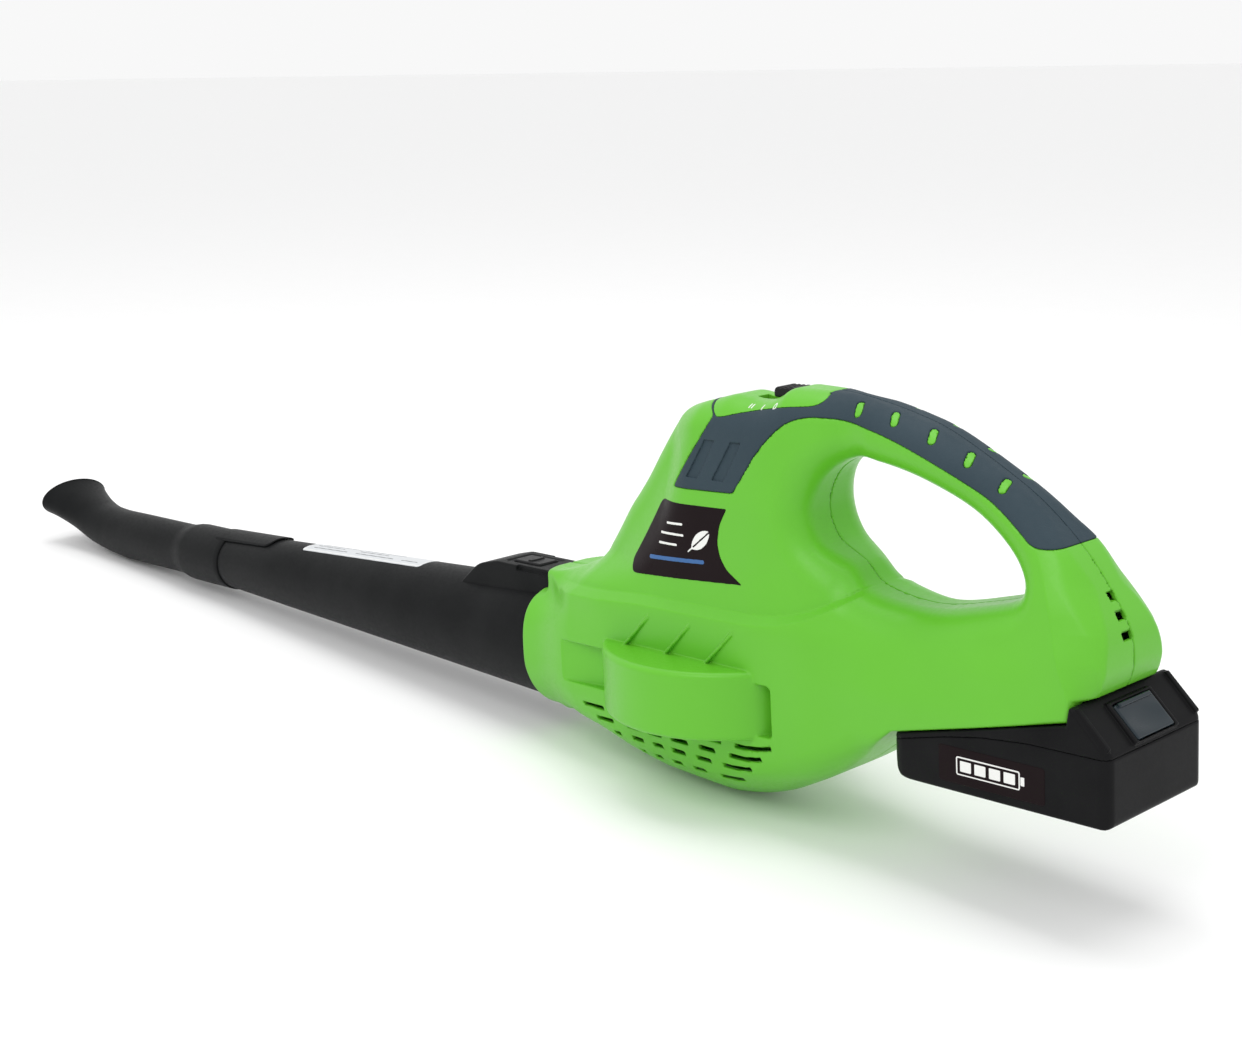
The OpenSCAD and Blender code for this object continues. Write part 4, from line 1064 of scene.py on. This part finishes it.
def latch_form(x, y, z):
    """Latch button with a thumb dish, a lip along the top and the well for its spring."""
    down, out = latch_frame(x, z)
    ay = np.abs(y)
    f = box_form(down, ay, out, (-9, -50, -2.4), (9, LATCH_HALF, 1.2), 1.0)
    dish = np.hypot(np.hypot(down - 1.5, y * 0.45), out - 22.0) - 21.6
    f = cut(f, dish, 0.4)
    lip = box_form(down, ay, out, (-9, -50, 0.2), (-6.6, LATCH_HALF - 2, 2.5), 0.9)
    f = np.minimum(f, lip)
    return np.maximum(f, -np.maximum(np.hypot(down, y) - 5.4, out + 1.4))


form_object("pack_latch_button", latch_form, (240, -19, 19), (258, 19, 38), 0.5, LATCH, "latch",
            ["battery_latch"])


def gauge_print(x, z):
    """Outline of a cell with its terminal and four charge bars."""
    outline = plate_form(x, z, (176, -4.0), (211, 5.0), 1.2)
    ring = np.maximum(outline, -(outline + 0.8))
    terminal = plate_form(x, z, (211.2, -1.6), (213.4, 2.6), 0.5)
    starts = [178.2 + 8.0 * k for k in range(4)]
    return union([ring, terminal] + [plate_form(x, z, (at, -2.1), (at + 6.2, 3.1), 0.4) for at in starts])


def pack_label_zone(x, z):
    return plate_form(x, z, (166, -8.5), (224, 9.0), 1.5)


for side_name, low_y, high_y in (("left", -39, -35), ("right", 35, 39)):
    film(side_name + "_pack_film", pack_form, pack_label_zone, (163, low_y, -10), (227, high_y, 11),
         0.16, 0.9, 0.6, DECAL, "battery", ["battery_label"] if side_name == "left" else ())
    film(side_name + "_charge_gauge", pack_form, gauge_print, (174, low_y, -5.5), (215, high_y, 6.5),
         0.22, 0.6, 0.32, WHITE, "battery")

# ------------------------------------------------------------------ camera, light, floor

CAMERA_AT = (686.6, -699.0, 294.6)          # tool frame, mm
YAW, PITCH, ROLL = math.radians(47.76), math.radians(11.75), math.radians(-3.24)
FOCAL_PX, IMAGE_WIDTH_PX, SENSOR_MM = 1899.0, 1242.0, 36.0
FLOOR_HALF = 60             # m, far enough that its edge is not seen


def set_camera():
    """Camera at the photograph's viewing angle, fitted in the tool frame."""
    back = np.array([math.sin(YAW) * math.cos(PITCH), -math.cos(YAW) * math.cos(PITCH), math.sin(PITCH)])
    right = np.array([math.cos(YAW), math.sin(YAW), 0.0])
    up = np.cross(back, right)
    right, up = (math.cos(ROLL) * right + math.sin(ROLL) * up,
                 -math.sin(ROLL) * right + math.cos(ROLL) * up)
    data = bpy.data.cameras.new("camera")
    data.sensor_width = SENSOR_MM
    data.lens = FOCAL_PX / IMAGE_WIDTH_PX * SENSOR_MM
    data.clip_end = 20.0
    camera = bpy.data.objects.new("camera", data)
    matrix = Matrix.Identity(4)
    for k, axis in enumerate((right, up, back)):
        matrix.col[k][:3] = turn(axis)
    matrix.col[3][:3] = place(CAMERA_AT)
    camera.matrix_world = matrix
    bpy.context.scene.collection.objects.link(camera)
    bpy.context.scene.camera = camera


def area_light(name, position, target, size, power):
    data = bpy.data.lights.new(name, "AREA")
    data.shape = "RECTANGLE"
    data.size, data.size_y = size
    data.energy = power
    obj = bpy.data.objects.new(name, data)
    obj.location = position
    obj.rotation_euler = (Vector(target) - Vector(position)).to_track_quat("-Z", "Y").to_euler()
    bpy.context.scene.collection.objects.link(obj)


def set_stage():
    """Pale floor, white surroundings and two soft lights."""
    half = FLOOR_HALF
    mesh = bpy.data.meshes.new("floor")
    mesh.from_pydata([(-half, -half, 0), (half, -half, 0), (half, half, 0), (-half, half, 0)],
                     [], [(0, 1, 2, 3)])
    floor = bpy.data.objects.new("floor", mesh)
    floor.location.z = -0.0005
    pale = material("pale_floor", (0.95, 0.95, 0.95), 0.7, grain=30.0, bump=0.0, mottle=0.01)
    mesh.materials.append(pale)
    bpy.context.scene.collection.objects.link(floor)
    world = bpy.data.worlds.new("studio")
    bpy.context.scene.world = world
    world.use_nodes = True
    background = world.node_tree.nodes["Background"]
    background.inputs["Color"].default_value = (1, 1, 1, 1)
    background.inputs["Strength"].default_value = 0.94
    bpy.context.scene.view_settings.view_transform = "Standard"
    area_light("key", (0.5, -1.5, 1.7), (0.2, 0, 0.1), (1.3, 1.0), 10)
    area_light("top", (0.15, 0.1, 1.9), (0.15, 0, 0.05), (2.0, 0.9), 11)


set_camera()
set_stage()
